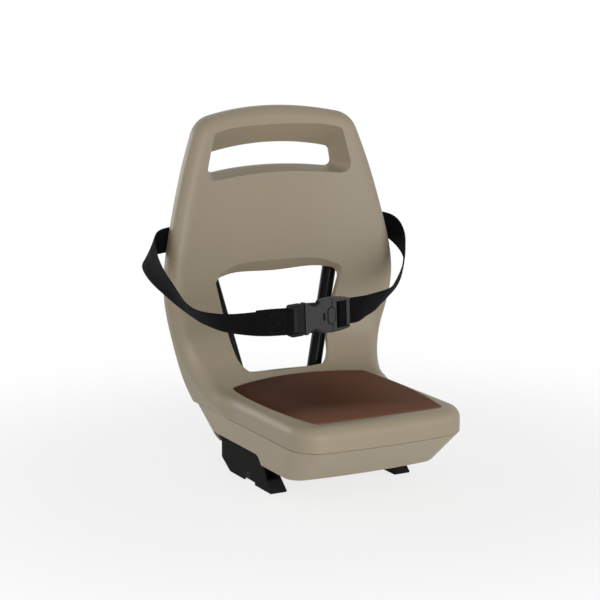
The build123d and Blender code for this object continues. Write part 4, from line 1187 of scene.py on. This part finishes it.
BOUNCE_LIFT = 0.01
LAMPS = (
    Lamp("key", (-0.85, -6.0, 0.95), 146.0, (2.0, 2.6)),
    Lamp("left", (-2.3, -0.9, 0.45), 9.0, (2.0, 1.6)),
    Lamp("right", (1.8, -1.7, 0.50), 8.5, (1.2, 1.2)),
    Lamp("bounce", (-0.1, -0.62, CAD_BOX[0][2] + BOUNCE_LIFT), 0.8, (0.9, 0.4)),
    Lamp("back", (-1.1, 2.3, 0.60), 14.0, (1.4, 0.9)),
)


@dataclass
class Studio:
    """Pale floor, soft light and the camera."""

    floor_drop: float = 0.0002
    floor_size: float = 60.0
    floor_colour: Colour = (0.95, 0.95, 0.95)
    shade_share: float = 0.22
    shade_reach: tuple[float, float] = (0.25, 0.75)
    sky_light: float = 0.34
    eye: Point = (-1.02207, -1.85216, 0.59590)
    aim: Point = (0.0, 0.050, 0.175)
    lens: float = 108.0
    sensor: float = 36.0

    def floor(self) -> bpy.types.Object:
        """Level floor under the lowest piece, white far away and shaded near the seat.

        Returns:
            The floor, which isn't part of the seat.
        """
        low = CAD_BOX[0][2] - self.floor_drop
        half = self.floor_size / 2
        corners = np.array([(-half, -half, low), (half, -half, low), (half, half, low), (-half, half, low)])
        floor = linked_mesh("floor", corners, [[0, 1, 2, 3]], np.zeros((4, 2)))
        material = bpy.data.materials.new("pale_floor")
        material.use_nodes = True
        tree = material.node_tree
        tree.nodes.remove(tree.nodes["Principled BSDF"])
        board = Board(tree)
        place = board.add("ShaderNodeTexCoord", {}).outputs["Object"]
        away = board.add("ShaderNodeVectorMath", {0: place}, operation="LENGTH").outputs["Value"]
        near = board.eased(away, *self.shade_reach, self.shade_share, 0.0)
        matt = board.add("ShaderNodeBsdfDiffuse", {"Color": (*self.floor_colour, 1.0)})
        white = board.add("ShaderNodeEmission", {"Color": (1.0, 1.0, 1.0, 1.0), "Strength": 1.0})
        share = board.math("MULTIPLY", board.seen(), board.math("SUBTRACT", 1.0, near))
        mixed = board.add("ShaderNodeMixShader", {0: share, 1: matt.outputs[0], 2: white.outputs[0]})
        tree.links.new(mixed.outputs[0], tree.nodes["Material Output"].inputs["Surface"])
        floor.data.materials.append(material)
        return floor

    def sky(self) -> None:
        """White surroundings for what is seen, dimmer for what is lit."""
        world = bpy.data.worlds.new("studio")
        world.use_nodes = True
        bpy.context.scene.world = world
        board = Board(world.node_tree)
        strength = board.spread(board.seen(), self.sky_light, 1.0)
        world.node_tree.links.new(strength, world.node_tree.nodes["Background"].inputs["Strength"])
        world.node_tree.nodes["Background"].inputs["Color"].default_value = (1.0, 1.0, 1.0, 1.0)

    def light(self, lamp: Lamp) -> None:
        """A lamp aimed at the seat, out of the camera's sight.

        Args:
            lamp: Place, power and size of the lamp.
        """
        data = bpy.data.lights.new(lamp.name, "AREA")
        data.shape = "RECTANGLE"
        data.size, data.size_y = lamp.size
        data.energy = lamp.power
        item = bpy.data.objects.new(lamp.name, data)
        item.location = lamp.place
        item.rotation_euler = (Vector(self.aim) - Vector(lamp.place)).to_track_quat("-Z", "Y").to_euler()
        item.visible_camera = False
        bpy.context.scene.collection.objects.link(item)

    def camera(self) -> None:
        """Camera at the photograph's viewing angle."""
        data = bpy.data.cameras.new("camera")
        data.lens = self.lens
        data.sensor_width = self.sensor
        item = bpy.data.objects.new("camera", data)
        item.location = self.eye
        item.rotation_euler = (Vector(self.aim) - Vector(self.eye)).to_track_quat("-Z", "Y").to_euler()
        bpy.context.scene.collection.objects.link(item)
        bpy.context.scene.camera = item

    def build(self) -> None:
        """Sets up the whole studio."""
        self.floor()
        self.sky()
        for lamp in LAMPS:
            self.light(lamp)
        self.camera()
        bpy.context.scene.view_settings.view_transform = "Standard"


def main() -> None:
    """Dresses the frame, adds the soft pieces and sets up the studio."""
    logging.basicConfig(level=logging.INFO, format="%(name)s: %(message)s")
    effects = Effects()
    materials = {slot: finish.material(effects) for slot, finish in FINISHES.items()}
    FrameDress(effects).apply(materials)
    pad = SeatPad().build(materials[Slot.PAD])
    LOG.info("piece %s", pad.name)
    for piece in HipBelt().build(materials[Slot.WEBBING], THREAD.material(effects)):
        LOG.info("piece %s", piece.name)
    Studio().build()


if __name__ == "__main__":
    main()
